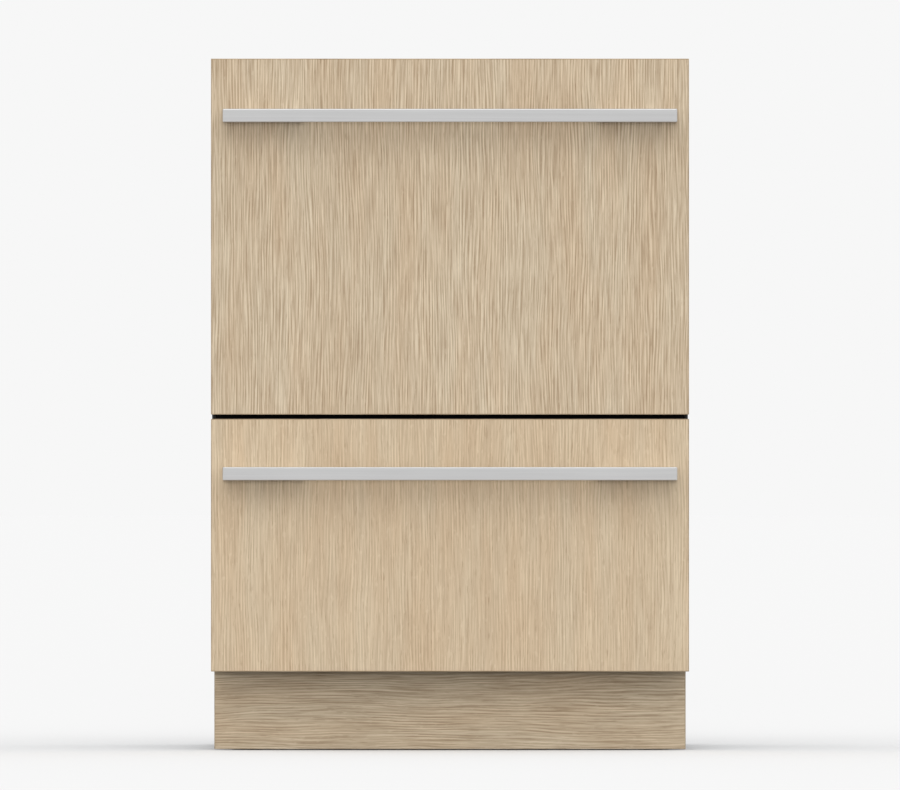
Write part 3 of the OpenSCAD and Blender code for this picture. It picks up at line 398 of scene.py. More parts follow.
class Spangle(Effect):
    """The crystal pattern of zinc coated sheet, with faint roller marks."""

    name = "zinc_spangle"
    inputs = (Socket("Vector", "Vector"), Socket("Base", "Color"), Socket("Roughness", "Float", 0.4))
    outputs = SKIN

    def draw(self, graph: Graph, given: bpy.types.NodeOutputs) -> dict[str, object]:
        """Writes the crystals.

        Args:
            graph: The group's tree.
            given: The group's inputs.

        Returns:
            Colour, roughness and height.
        """
        bent = graph.noise(given["Vector"], 60.0, 2.0)
        place = graph.node("ShaderNodeVectorMath", {1: (0.004, 0.004, 0.004)}, operation="MULTIPLY_ADD")
        graph.set_input(place.inputs[0], bent)
        graph.set_input(place.inputs[2], given["Vector"])
        cells = graph.node("ShaderNodeTexVoronoi", {"Vector": place.outputs[0], "Scale": 150.0})
        facet = graph.node("ShaderNodeSeparateColor", {0: cells.outputs["Color"]}).outputs[0]
        cloud = graph.noise(given["Vector"], 3.5, 3.0)
        level = graph.math(
            "MULTIPLY", graph.spread(facet, 0, 1, 0.93, 1.06), graph.spread(cloud, 0.3, 0.7, 0.96, 1.04),
        )
        colour = graph.shaded(given["Base"], level)
        rough = graph.math("ADD", given["Roughness"], graph.spread(facet, 0, 1, -0.08, 0.10))
        marks = graph.noise(graph.stretched(given["Vector"], 700.0, 700.0, 4.0), 1.0, 1.0)
        return {"Color": colour, "Roughness": rough, "Height": marks}


class MouldGrain(Effect):
    """The fine spark-eroded grain of a moulded plastic part, with a faint mottle and flow lines."""

    name = "mould_grain"
    inputs = (
        Socket("Vector", "Vector"), Socket("Base", "Color"), Socket("Roughness", "Float", 0.5),
        Socket("Grain", "Float", 1400.0), Socket("Mottle", "Float", 0.04),
    )
    outputs = SKIN

    def draw(self, graph: Graph, given: bpy.types.NodeOutputs) -> dict[str, object]:
        """Writes the grain.

        Args:
            graph: The group's tree.
            given: The group's inputs.

        Returns:
            Colour, roughness and height.
        """
        fine = graph.noise(given["Vector"], given["Grain"])
        cloud = graph.noise(given["Vector"], 16.0, 3.0)
        flow = graph.noise(graph.stretched(given["Vector"], 5.0, 5.0, 70.0), 1.0, 1.0)
        shade = graph.math("ADD", graph.math("MULTIPLY", cloud, 0.7), graph.math("MULTIPLY", flow, 0.3))
        reach = graph.math("MULTIPLY", given["Mottle"], 4.0)
        swing = graph.math("MULTIPLY", graph.math("SUBTRACT", shade, 0.5), reach)
        level = graph.math("ADD", 1.0, swing)
        colour = graph.shaded(given["Base"], level)
        rough = graph.math("ADD", given["Roughness"], graph.spread(cloud, 0.3, 0.7, -0.06, 0.06))
        return {"Color": colour, "Roughness": rough, "Height": fine}


class HandMarks(Effect):
    """Faint wiping marks and finger bloom, which change how rough a smooth surface is."""

    name = "hand_marks"
    inputs = (Socket("Vector", "Vector"), Socket("Roughness", "Float", 0.3), Socket("Amount", "Float", 0.1))
    outputs = (Socket("Roughness", "Float"),)

    def draw(self, graph: Graph, given: bpy.types.NodeOutputs) -> dict[str, object]:
        """Writes the marks.

        Args:
            graph: The group's tree.
            given: The group's inputs.

        Returns:
            The roughness.
        """
        blooms = graph.spread(graph.noise(given["Vector"], 21.0, 3.0, 0.6), 0.5, 0.66)
        drawn = graph.stretched(given["Vector"], 14.0, 60.0, 190.0)
        wipes = graph.spread(graph.noise(drawn, 1.0, 2.0), 0.45, 0.7)
        marks = graph.math("MULTIPLY", blooms, wipes)
        more = graph.math("MULTIPLY", marks, given["Amount"])
        return {"Roughness": graph.math("ADD", given["Roughness"], more, clamp=True)}


# ---------- finishes ----------


@dataclass(frozen=True)
class Finish:
    """A finish: its material's name and the record's slot that it belongs to."""

    name: str
    slot: str

    @property
    def title(self) -> str:
        """The material's name, which no plain material of the CAD has."""
        return f"{self.name}_finish"

    def material(self) -> bpy.types.Material:
        """Finds the material, or builds it the first time.

        Returns:
            The material.
        """
        found = bpy.data.materials.get(self.title)
        if found:
            return found
        made = bpy.data.materials.new(self.title)
        made.use_nodes = True
        made.node_tree.nodes.clear()
        graph = Graph(made.node_tree)
        shader = graph.node("ShaderNodeBsdfPrincipled")
        place = graph.node("ShaderNodeTexCoord").outputs["Object"]
        self.draw(graph, shader, place)
        graph.node("ShaderNodeOutputMaterial", {0: shader.outputs[0]})
        return made

    def draw(self, graph: Graph, shader: bpy.types.Node, place: bpy.types.NodeSocket) -> None:
        """Writes the material's nodes.

        Args:
            graph: The material's tree.
            shader: Its surface shader.
            place: Object coordinates.
        """
        raise NotImplementedError

    def bump(self, graph: Graph, shader: bpy.types.Node, height: object, depth: float, strength: float) -> None:
        """Feeds a height into the shader's normal.

        Args:
            graph: The material's tree.
            shader: Its surface shader.
            height: The height socket.
            depth: Height of the relief, in metres.
            strength: How much of it shows.
        """
        bump = graph.node("ShaderNodeBump", {"Height": height, "Distance": depth, "Strength": strength})
        graph.set_input(shader.inputs["Normal"], bump.outputs[0])

    def cover(self, graph: Graph, shader: bpy.types.Node, place: object, skin: object, marks: float) -> None:
        """Feeds an effect's colour, and its roughness with hand marks on it, into the shader.

        Args:
            graph: The material's tree.
            shader: Its surface shader.
            place: Object coordinates.
            skin: The effect's outputs.
            marks: How much the hand marks show.
        """
        rough = HandMarks().place(graph, {"Vector": place, "Roughness": skin["Roughness"], "Amount": marks})
        graph.set_input(shader.inputs["Base Color"], skin["Color"])
        graph.set_input(shader.inputs["Roughness"], rough["Roughness"])

    def turned(self, graph: Graph, place: object, turn: Point) -> bpy.types.NodeSocket:
        """Turns a pattern by some angles, in radians."""
        return graph.node("ShaderNodeMapping", {"Vector": place, "Rotation": turn}).outputs[0]


@dataclass(frozen=True)
class OakVeneer(Finish):
    """Lacquered oak veneer."""

    pale: Colour = srgb(221, 205, 179)
    dark: Colour = srgb(170, 149, 122)
    warm: Colour = (0.985, 0.925, 0.875, 1.0)
    way: GrainWay = GrainWay.UPRIGHT
    sheet: float = 0.0
    contrast: float = 1.0
    waviness: float = 1.0

    def draw(self, graph: Graph, shader: bpy.types.Node, place: bpy.types.NodeSocket) -> None:
        """Writes the veneer.

        Args:
            graph: The material's tree.
            shader: Its surface shader.
            place: Object coordinates.
        """
        turn = {
            GrainWay.UPRIGHT: (0, 0, 0), GrainWay.LEVEL: (0, math.pi / 2, 0),
            GrainWay.DEEP: (math.pi / 2, 0, 0),
        }
        grain = OakGrain().place(graph, {
            "Vector": self.turned(graph, place, turn[self.way]),
            "Pale": self.pale, "Dark": self.dark, "Warm": self.warm,
            "Sheet": self.sheet, "Contrast": self.contrast, "Waviness": self.waviness,
        })
        graph.set_input(shader.inputs["Base Color"], grain["Color"])
        graph.set_input(shader.inputs["Roughness"], grain["Roughness"])
        shader.inputs["Specular IOR Level"].default_value = 0.35
        self.bump(graph, shader, grain["Height"], 0.00012, 0.35)


@dataclass(frozen=True)
class BrushedMetal(Finish):
    """Brushed stainless steel or aluminium."""

    base: Colour = srgb(203, 203, 204)
    roughness: float = 0.3
    marks: float = 0.08
    way: GrainWay = GrainWay.LEVEL

    def draw(self, graph: Graph, shader: bpy.types.Node, place: bpy.types.NodeSocket) -> None:
        """Writes the brushed metal.

        Args:
            graph: The material's tree.
            shader: Its surface shader.
            place: Object coordinates.
        """
        turn = {GrainWay.LEVEL: (0, 0, 0), GrainWay.DEEP: (0, 0, math.pi / 2)}
        lines = BrushLines().place(graph, {
            "Vector": self.turned(graph, place, turn[self.way]), "Base": self.base, "Roughness": self.roughness,
        })
        self.cover(graph, shader, place, lines, self.marks)
        shader.inputs["Metallic"].default_value = 1.0
        self.bump(graph, shader, lines["Height"], 0.00001, 0.08)


@dataclass(frozen=True)
class ZincSheet(Finish):
    """Zinc coated sheet steel."""

    base: Colour = srgb(186, 189, 192)
    roughness: float = 0.42
    marks: float = 0.08

    def draw(self, graph: Graph, shader: bpy.types.Node, place: bpy.types.NodeSocket) -> None:
        """Writes the zinc.

        Args:
            graph: The material's tree.
            shader: Its surface shader.
            place: Object coordinates.
        """
        zinc = Spangle().place(graph, {"Vector": place, "Base": self.base, "Roughness": self.roughness})
        self.cover(graph, shader, place, zinc, self.marks)
        shader.inputs["Metallic"].default_value = 1.0
        self.bump(graph, shader, zinc["Height"], 0.00003, 0.1)


@dataclass(frozen=True)
class Moulded(Finish):
    """Moulded plastic, rubber or powder coat: a plain body colour with a fine grain."""

    base: Colour = srgb(120, 122, 125)
    roughness: float = 0.5
    grain: float = 1400.0
    mottle: float = 0.03
    relief: float = 0.12
    coat: float = 0.0
    shine: float = 0.5
    marks: float = 0.06

    def draw(self, graph: Graph, shader: bpy.types.Node, place: bpy.types.NodeSocket) -> None:
        """Writes the plastic.

        Args:
            graph: The material's tree.
            shader: Its surface shader.
            place: Object coordinates.
        """
        skin = MouldGrain().place(graph, {
            "Vector": place, "Base": self.base, "Roughness": self.roughness,
            "Grain": self.grain, "Mottle": self.mottle,
        })
        self.cover(graph, shader, place, skin, self.marks)
        shader.inputs["Coat Weight"].default_value = self.coat
        shader.inputs["Specular IOR Level"].default_value = self.shine
        self.bump(graph, shader, skin["Height"], 0.00006, self.relief)


@dataclass(frozen=True)
class Glow(Finish):
    """A small indicator light behind a frosted cover."""

    base: Colour = srgb(205, 232, 255)
    roughness: float = 0.35
    grain: float = 2600.0
    mottle: float = 0.02
    glow: float = 1.6

    def draw(self, graph: Graph, shader: bpy.types.Node, place: bpy.types.NodeSocket) -> None:
        """Writes the light.

        Args:
            graph: The material's tree.
            shader: Its surface shader.
            place: Object coordinates.
        """
        skin = MouldGrain().place(graph, {
            "Vector": place, "Base": self.base, "Roughness": self.roughness,
            "Grain": self.grain, "Mottle": self.mottle,
        })
        graph.set_input(shader.inputs["Base Color"], skin["Color"])
        graph.set_input(shader.inputs["Emission Color"], skin["Color"])
        graph.set_input(shader.inputs["Roughness"], skin["Roughness"])
        shader.inputs["Emission Strength"].default_value = self.glow


class Finishes:
    """Every finish on the machine."""

    EDGE_PALE, EDGE_DARK = srgb(205, 186, 158), srgb(160, 138, 110)
    OAK_UPPER = OakVeneer("oak_upper", "oak_panel", sheet=3.1, contrast=1.15)
    OAK_LOWER = OakVeneer(
        "oak_lower", "oak_panel", pale=srgb(226, 208, 179), dark=srgb(176, 154, 126), sheet=7.7, contrast=0.62,
    )
    OAK_EDGE = OakVeneer("oak_edge", "oak_panel", pale=EDGE_PALE, dark=EDGE_DARK, sheet=12.4)
    OAK_EDGE_LEVEL = OakVeneer(
        "oak_edge_level", "oak_panel", pale=EDGE_PALE, dark=EDGE_DARK, way=GrainWay.LEVEL, sheet=15.9,
    )
    # The plinth's veneer is darker than the fronts'. This is partly its own tone and partly painted shade of
    # the recess under the fronts.
    OAK_PLINTH_EDGE = OakVeneer(
        "oak_plinth_edge", "oak_plinth", pale=srgb(190, 174, 148), dark=srgb(146, 127, 102), sheet=24.1,
    )
    OAK_PLINTH = OakVeneer(
        "oak_plinth", "oak_plinth", pale=srgb(212, 196, 170), dark=srgb(162, 142, 116),
        way=GrainWay.LEVEL, sheet=21.3, waviness=1.6,
    )
    HANDLE = BrushedMetal("handle_steel", "handle_steel", base=srgb(200, 200, 200), roughness=0.34)
    STAINLESS = BrushedMetal(
        "stainless", "stainless", base=srgb(205, 206, 207), roughness=0.28, way=GrainWay.DEEP,
    )
    ZINC = ZincSheet("zinc_sheet", "zinc_sheet")
    RUNNER = BrushedMetal(
        "runner_steel", "runner_steel", base=srgb(196, 200, 204), roughness=0.26, way=GrainWay.DEEP,
    )
    # Black painted sheet. Its colour is darkened to near pure black and its shine lowered, as painted shade for
    # the deep gap between the fronts.
    BLACK_SHEET_GAP_SHADE = Moulded(
        "black_sheet", "black_sheet", base=srgb(8, 8, 9), roughness=0.55, grain=900.0, shine=0.12,
    )
    TUB = Moulded("tub_plastic", "tub_plastic", base=srgb(176, 179, 181), roughness=0.34, relief=0.06)
    LID = Moulded("lid_plastic", "lid_plastic", base=srgb(203, 205, 206), roughness=0.45)
    TRIM = Moulded("trim_plastic", "trim_plastic", base=srgb(128, 132, 137), roughness=0.42)
    DARK = Moulded("dark_plastic", "dark_plastic", base=srgb(46, 47, 50), roughness=0.48)
    GRIP = Moulded("grip_plastic", "grip_plastic", base=srgb(74, 92, 108), roughness=0.4)
    WHITE = Moulded("service_plastic", "service_plastic", base=srgb(226, 226, 222), roughness=0.4)
    WIRE = Moulded(
        "coated_wire", "coated_wire", base=srgb(198, 201, 204), roughness=0.3, grain=500.0, coat=0.3,
    )
    RUBBER = Moulded("seal_rubber", "seal_rubber", base=srgb(38, 38, 40), roughness=0.62, grain=2200.0)
    GLASS = Moulded("display_cover", "dark_plastic", base=srgb(12, 12, 14), roughness=0.08, relief=0.0,
                    coat=0.6)
    LIGHT_OFF = Moulded("light_off", "dark_plastic", base=srgb(120, 126, 132), roughness=0.3, relief=0.0)
    LIGHT_ON = Glow("light_on", "dark_plastic")


# ---------- workbench ----------


class Bench:
    """Shapes pieces with the modelling operators, as by hand."""

    FOLD = 0.3 * MM * MM
    SEAM = 0.000005
    WELD = 0.00001
    FLAT = math.radians(0.6)
    WIRE_RINGS = 1
    SHARES = (1.0, 0.75, 0.5, 0.35, 0.25, 0.15, 0.08)

    @staticmethod
    def clear() -> None:
        """Leaves edit mode and deselects everything."""
        if bpy.context.object and bpy.context.object.mode != "OBJECT":
            bpy.ops.object.mode_set(mode="OBJECT")
        bpy.ops.object.select_all(action="DESELECT")

    @staticmethod
    def take(piece: bpy.types.Object) -> bpy.types.Object:
        """Makes one piece the only selected and the active one.

        Args:
            piece: The piece.

        Returns:
            The same piece.
        """
        Bench.clear()
        piece.select_set(True)
        bpy.context.view_layer.objects.active = piece
        return piece

    @staticmethod
    def block(name: str, low: Sequence[float], high: Sequence[float]) -> bpy.types.Object:
        """Adds a box between two corners.

        Args:
            name: The piece's name.
            low: Its lowest corner.
            high: Its highest corner.

        Returns:
            The box, with its place in its mesh.
        """
        Bench.clear()
        centre = [(a + b) / 2 for a, b in zip(low, high)]
        size = [b - a for a, b in zip(low, high)]
        bpy.ops.mesh.primitive_cube_add(size=1, location=centre, scale=size)
        return Bench.settle(name)

    @staticmethod
    def rod(
        name: str, centre: Sequence[float], radius: float, length: float, axis: Axis, sides: int = 32,
    ) -> bpy.types.Object:
        """Adds a cylinder.

        Args:
            name: The piece's name.
            centre: Its middle.
            radius: Its radius.
            length: Its length.
            axis: The axis that it lies along.
            sides: Number of faces round it.

        Returns:
            The cylinder, with its place in its mesh.
        """
        Bench.clear()
        turn = {Axis.X: (0, math.pi / 2, 0), Axis.Y: (math.pi / 2, 0, 0), Axis.Z: (0, 0, 0)}[axis]
        bpy.ops.mesh.primitive_cylinder_add(
            vertices=sides, radius=radius, depth=length, location=centre, rotation=turn,
        )
        return Bench.settle(name)

    @staticmethod
    def settle(name: str) -> bpy.types.Object:
        """Names the active object and moves its place and size into its mesh.

        Args:
            name: The piece's name.

        Returns:
            The piece.
        """
        piece = bpy.context.object
        piece.name = name
        piece.data.name = name
        bpy.ops.object.transform_apply(location=True, rotation=True, scale=True)
        return piece

    @staticmethod
    def pick_faces(piece: bpy.types.Object, wanted: Callable[[bpy.types.MeshPolygon], bool]) -> None:
        """Enters edit mode with only the wanted faces selected.

        Args:
            piece: The piece.
            wanted: Says of a face whether it is picked.
        """
        Bench.take(piece)
        bpy.ops.object.mode_set(mode="EDIT")
        bpy.ops.mesh.select_mode(type="FACE")
        bpy.ops.mesh.select_all(action="DESELECT")
        bpy.ops.object.mode_set(mode="OBJECT")
        for face in piece.data.polygons:
            face.select = bool(wanted(face))
        bpy.ops.object.mode_set(mode="EDIT")

    @staticmethod
    def cut(piece: bpy.types.Object, axis: Axis, places: Iterable[float]) -> None:
        """Cuts all of a piece's faces across at some places along an axis.

        Args:
            piece: The piece.
            axis: The axis.
            places: Where the cuts are.
        """
        normal = [0.0, 0.0, 0.0]
        normal[axis.value] = 1.0
        Bench.take(piece)
        bpy.ops.object.mode_set(mode="EDIT")
        for place in places:
            bpy.ops.mesh.select_all(action="SELECT")
            bpy.ops.mesh.bisect(plane_co=[n * place for n in normal], plane_no=normal)
        bpy.ops.object.mode_set(mode="OBJECT")

    @staticmethod
    def draw_out(move: Sequence[float]) -> None:
        """Extrudes the picked faces along a vector and leaves edit mode.

        Args:
            move: How far they go.
        """
        bpy.ops.mesh.extrude_region_move(TRANSFORM_OT_translate={"value": tuple(move)})
        bpy.ops.object.mode_set(mode="OBJECT")

    @staticmethod
    def inset(thickness: float, depth: float = 0.0) -> None:
        """Insets the picked faces and leaves edit mode.

        Args:
            thickness: Distance from the old edges to the new.
            depth: How far the inner faces are pushed in or out.
        """
        bpy.ops.mesh.inset(thickness=thickness, depth=depth)
        bpy.ops.object.mode_set(mode="OBJECT")

    @staticmethod
    def worst_fold(piece: bpy.types.Object) -> float:
        """Largest triangle that lies upside down in its own face, as where two roundings cross."""
        mesh = piece.data
        mesh.calc_loop_triangles()
        faces = mesh.polygons
        folded = (t.area for t in mesh.loop_triangles if t.normal.dot(faces[t.polygon_index].normal) < 0)
        return max(folded, default=0.0)

    @staticmethod
    def soften(
        piece: bpy.types.Object, width: float, segments: int = 2, angle: float = 35.0,
    ) -> bpy.types.Object:
        """Rounds a piece's sharp edges, as wide as they take without folding a face, and shades it smooth.

        Args:
            piece: The piece.
            width: Width of the rounding.
            segments: Facets in the rounding.
            angle: Least angle, in degrees, that counts as sharp.

        Returns:
            The same piece.
        """
        Bench.take(piece)
        sharp = piece.data
        for share in Bench.SHARES:
            piece.data = sharp.copy()
            bevel = piece.modifiers.new("rounding", "BEVEL")
            bevel.width = width * share
            bevel.segments = segments
            bevel.limit_method = "ANGLE"
            bevel.angle_limit = math.radians(angle)
            bevel.use_clamp_overlap = False
            bevel.harden_normals = False
            bpy.ops.object.modifier_apply(modifier=bevel.name)
            if Bench.worst_fold(piece) < Bench.FOLD:
                break
        if share < 1.0:
            LOG.info("%s: edges rounded by %.2f mm", piece.name, width * share / MM)
        piece.data.name = sharp.name
        bpy.data.meshes.remove(sharp)
        bpy.ops.object.shade_smooth_by_angle(angle=math.radians(angle))
        weights = piece.modifiers.new("flat_faces", "WEIGHTED_NORMAL")
        weights.keep_sharp = True
        bpy.ops.object.modifier_apply(modifier=weights.name)
        return piece

    @staticmethod
    def copy_node(node: str, name: str) -> bpy.types.Object:
        """Copies a CAD node's mesh and turns its triangles back into whole faces.

        Args:
            node: The CAD node.
            name: The new piece's name.

        Returns:
            The new piece.
        """
        Bench.clear()
        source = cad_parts[node]
        piece = bpy.data.objects.new(name, source.data.copy())
        piece.data.name = name
        piece.data.materials.clear()
        bpy.context.scene.collection.objects.link(piece)
        Bench.take(piece)
        bpy.ops.object.mode_set(mode="EDIT")
        bpy.ops.mesh.select_all(action="SELECT")
        bpy.ops.mesh.remove_doubles(threshold=Bench.WELD)
        bpy.ops.mesh.dissolve_limited(angle_limit=Bench.FLAT)
        bpy.ops.object.mode_set(mode="OBJECT")
        return piece

    @staticmethod
    def chain(name: str, points: Sequence[Point], closed: bool) -> bpy.types.Object:
        """Makes a chain of edges through some points.

        Args:
            name: The piece's name.
            points: The points, in order.
            closed: Whether the chain closes on itself.

        Returns:
            The chain, active and alone selected.
        """
        Bench.clear()
        mesh = bpy.data.meshes.new(name)
        count = len(points)
        edges = [(i, i + 1) for i in range(count - 1)] + ([(count - 1, 0)] if closed else [])
        mesh.from_pydata([tuple(p) for p in points], edges, [])
        piece = bpy.data.objects.new(name, mesh)
        bpy.context.scene.collection.objects.link(piece)
        return Bench.take(piece)

    @staticmethod
    def sew(name: str, smooth: float) -> bpy.types.Object:
        """Closes the seams of the piece in edit mode, turns its faces outwards and shades it.

        Args:
            name: The piece's name.
            smooth: Greatest angle, in degrees, that is shaded smooth.

        Returns:
            The piece, with its place in its mesh.
        """
        bpy.ops.mesh.select_all(action="SELECT")
        bpy.ops.mesh.remove_doubles(threshold=Bench.SEAM)
        bpy.ops.mesh.normals_make_consistent(inside=False)
        bpy.ops.object.mode_set(mode="OBJECT")
        bpy.ops.object.shade_smooth_by_angle(angle=math.radians(smooth))
        return Bench.settle(name)

    @staticmethod
    def spun(name: str, outline: Sequence[Point], sides: int, closed: bool = False) -> bpy.types.Object:
        """Spins an outline in the XZ plane round the Z axis.

        Args:
            name: The piece's name.
            outline: The outline's points.
            sides: Faces round it.
            closed: Whether the outline closes on itself.

        Returns:
            The turned piece.
        """
        Bench.chain(name, outline, closed)
        bpy.ops.object.mode_set(mode="EDIT")
        bpy.ops.mesh.select_all(action="SELECT")
        bpy.ops.mesh.spin(steps=sides, angle=2 * math.pi, center=(0, 0, 0), axis=(0, 0, 1))
        return Bench.sew(name, 35.0)

    @staticmethod
    def lay_back(piece: bpy.types.Object) -> None:
        """Turns an upright piece so that its top points back, along +Y.

        Args:
            piece: The piece.
        """
        Bench.take(piece)
        piece.rotation_euler = (-math.pi / 2, 0, 0)
        bpy.ops.object.transform_apply(location=True, rotation=True, scale=True)

    @staticmethod
    def shift(piece: bpy.types.Object, move: Sequence[float]) -> None:
        """Moves a piece's mesh.

        Args:
            piece: The piece.
            move: How far it goes.
        """
        Bench.take(piece)
        piece.location = tuple(move)
        bpy.ops.object.transform_apply(location=True, rotation=True, scale=True)

    @staticmethod
    def round_corners(piece: bpy.types.Object, radius: float) -> None:
        """Rounds a box's upright edges.

        Args:
            piece: The box.
            radius: The radius.
        """
        Bench.take(piece)
        bpy.ops.object.mode_set(mode="EDIT")
        bpy.ops.mesh.select_mode(type="EDGE")
        bpy.ops.mesh.select_all(action="DESELECT")
        bpy.ops.object.mode_set(mode="OBJECT")
        points = piece.data.vertices
        for edge in piece.data.edges:
            first, second = (points[i].co for i in edge.vertices)
            edge.select = abs(first.x - second.x) < 1e-6 and abs(first.y - second.y) < 1e-6
        bpy.ops.object.mode_set(mode="EDIT")
        bpy.ops.mesh.bevel(offset=radius, segments=8, affect="EDGES", clamp_overlap=False)
        bpy.ops.object.mode_set(mode="OBJECT")

    @staticmethod
    def join(name: str, pieces: Sequence[bpy.types.Object]) -> bpy.types.Object:
        """Joins pieces into one object.

        Args:
            name: The joined piece's name.
            pieces: The pieces.

        Returns:
            The joined piece.
        """
        Bench.clear()
        for piece in pieces:
            piece.select_set(True)
        bpy.context.view_layer.objects.active = pieces[0]
        bpy.ops.object.join()
        return Bench.settle(name)

    @staticmethod
    def wire(
        name: str, points: Sequence[Point], radius: float, bend: float = 0.0, closed: bool = False,
    ) -> bpy.types.Object:
        """Makes a round wire along a path, with its corners bent to a radius.

        Args:
            name: The piece's name.
            points: The path's corners.
            radius: The wire's radius.
            bend: Radius of its bends.
            closed: Whether the path closes on itself.

        Returns:
            The wire as a mesh.
        """
        mesh = Bench.chain(name, points, closed).data
        if bend > 0:
            bpy.ops.object.mode_set(mode="EDIT")
            bpy.ops.mesh.select_all(action="DESELECT")
            bpy.ops.mesh.select_mode(type="VERT")
            bpy.ops.object.mode_set(mode="OBJECT")
            for i, vertex in enumerate(mesh.vertices):
                vertex.select = closed or 0 < i < len(points) - 1
            bpy.ops.object.mode_set(mode="EDIT")
            bpy.ops.mesh.bevel(offset=bend, segments=5, affect="VERTICES", profile=0.5, clamp_overlap=True)
            bpy.ops.object.mode_set(mode="OBJECT")
        bpy.ops.object.convert(target="CURVE")
        curve = bpy.context.object.data
        curve.bevel_depth = radius
        curve.bevel_resolution = Bench.WIRE_RINGS
        curve.use_fill_caps = True
        bpy.ops.object.convert(target="MESH")
        bpy.ops.object.mode_set(mode="EDIT")
        return Bench.sew(name, 50.0)

    @staticmethod
    def repeat(source: bpy.types.Object, places: Sequence[Sequence[float]]) -> list[bpy.types.Object]:
        """Copies a piece to several places, each copy with its own mesh, and keeps the source as the first.

        Args:
            source: The piece, modelled at the frame's origin.
            places: Where the copies go.

        Returns:
            All the pieces.
        """
        made = []
        for place in places:
            copy = bpy.data.objects.new(source.name, source.data.copy())
            copy.location = place
            bpy.context.scene.collection.objects.link(copy)
            made.append(copy)
        bpy.data.objects.remove(source)
        return made


class Store:
    """Dresses the finished pieces, hangs them on their bodies and keeps their names."""

    def __init__(self) -> None:
        """Starts with nothing handed over."""
        self.names: list[str] = []

    def hand_over(self, piece: bpy.types.Object, finish: Finish, body: str, *nodes: str) -> bpy.types.Object:
        """Gives a piece its finish and body, and hides the CAD nodes that it stands for.

        Args:
            piece: The finished piece.
            finish: Its finish.
            body: The body that it rides on.
            *nodes: The CAD nodes that it replaces.

        Returns:
            The same piece.
        """
        piece.data.materials.clear()
        piece.data.materials.append(finish.material())
        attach(piece, body)
        if nodes:
            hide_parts(*nodes)
        self.names.append(piece.name)
        LOG.info("%s: %s on %s, %d faces", piece.name, finish.name, body, len(piece.data.polygons))
        return piece


def corner(node: str) -> tuple[Vector, Vector]:
    """Lowest and highest corners of a CAD node, in metres."""
    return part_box(node)


# ---------- sub-assemblies ----------


@dataclass
class SoftenedParts:
    """CAD pieces whose shape is right, copied with rounded edges."""

    store: Store

    def build(self, node: str, finish: Finish, body: str, width: float, segments: int = 2) -> bpy.types.Object:
        """Makes one of them.

        Args:
            node: The CAD node.
            finish: Its finish.
            body: Its body.
            width: Width of the edges' rounding, in metres.
            segments: Facets in the rounding.

        Returns:
            The piece.
        """
        piece = Bench.copy_node(node, f"{node}_skin")
        Bench.soften(piece, width, segments)
        return self.store.hand_over(piece, finish, body, node)


@dataclass
class OakBoard:
    """A veneered board with an edge band on each side."""

    store: Store
    node: str
    body: str
    face: OakVeneer
    upright_band: OakVeneer
    level_band: OakVeneer
    band: float = 1.0 * MM
    arris: float = 0.45 * MM
    joint: float = 0.12 * MM

    def build(self) -> None:
        """Makes the board and its four bands."""
        low, high = corner(self.node)
        core = Bench.block(
            f"{self.node}_board",
            (low.x + self.band, low.y, low.z + self.band), (high.x - self.band, high.y, high.z - self.band),
        )
        Bench.soften(core, self.joint, 1)
        self.store.hand_over(core, self.face, self.body, self.node)
        for side, x in (("left", low.x), ("right", high.x - self.band)):
            self.edge(f"{self.node}_{side}_band", (x, low.y, low.z), (x + self.band, high.y, high.z),
                      self.upright_band)
        for side, z in (("bottom", low.z), ("top", high.z - self.band)):
            self.edge(f"{self.node}_{side}_band", (low.x + self.band, low.y, z),
                      (high.x - self.band, high.y, z + self.band), self.level_band)

    def edge(self, name: str, low: Sequence[float], high: Sequence[float], finish: OakVeneer) -> None:
        """Makes one edge band.

        Args:
            name: The band's name.
            low: Its lowest corner.
            high: Its highest corner.
            finish: Its veneer.
        """
        strip = Bench.block(name, low, high)
        Bench.soften(strip, self.arris, 3)
        self.store.hand_over(strip, finish, self.body)


@dataclass
class BarHandle:
    """A bar with two solid ends that stand on the front."""

    store: Store
    node: str
    body: str
    thickness: float = 11.0 * MM
    end_length: float = 100.5 * MM
    edge: float = 1.3 * MM

    def build(self) -> None:
        """Makes the handle from one bar whose ends are drawn out to the front."""
        low, high = corner(self.node)
        back = low.y + self.thickness
        bar = Bench.block(f"{self.node}_bar", low, (high.x, back, high.z))
        Bench.cut(bar, Axis.X, (low.x + self.end_length, high.x - self.end_length))
        inner = high.x - self.end_length
        Bench.pick_faces(bar, lambda f: f.normal.y > 0.9 and abs(f.center.x) > inner)
        Bench.draw_out((0, high.y - back, 0))
        Bench.soften(bar, self.edge, 3)
        self.store.hand_over(bar, Finishes.HANDLE, self.body, self.node)


@dataclass
class Fronts:
    """The timber fronts, their handles and the plinth: what the machine shows when it is shut."""

    store: Store

    def build(self) -> None:
        """Makes both fronts and the plinth."""
        for level, face in (("upper", Finishes.OAK_UPPER), ("lower", Finishes.OAK_LOWER)):
            body = f"{level}_drawer"
            bands = (Finishes.OAK_EDGE, Finishes.OAK_EDGE_LEVEL)
            OakBoard(self.store, f"{level}_front_panel", body, face, *bands).build()
            BarHandle(self.store, f"{level}_handle", body).build()
        plinth = (Finishes.OAK_PLINTH, Finishes.OAK_PLINTH_EDGE, Finishes.OAK_PLINTH)
        OakBoard(self.store, "toe_kick", "chassis", *plinth).build()


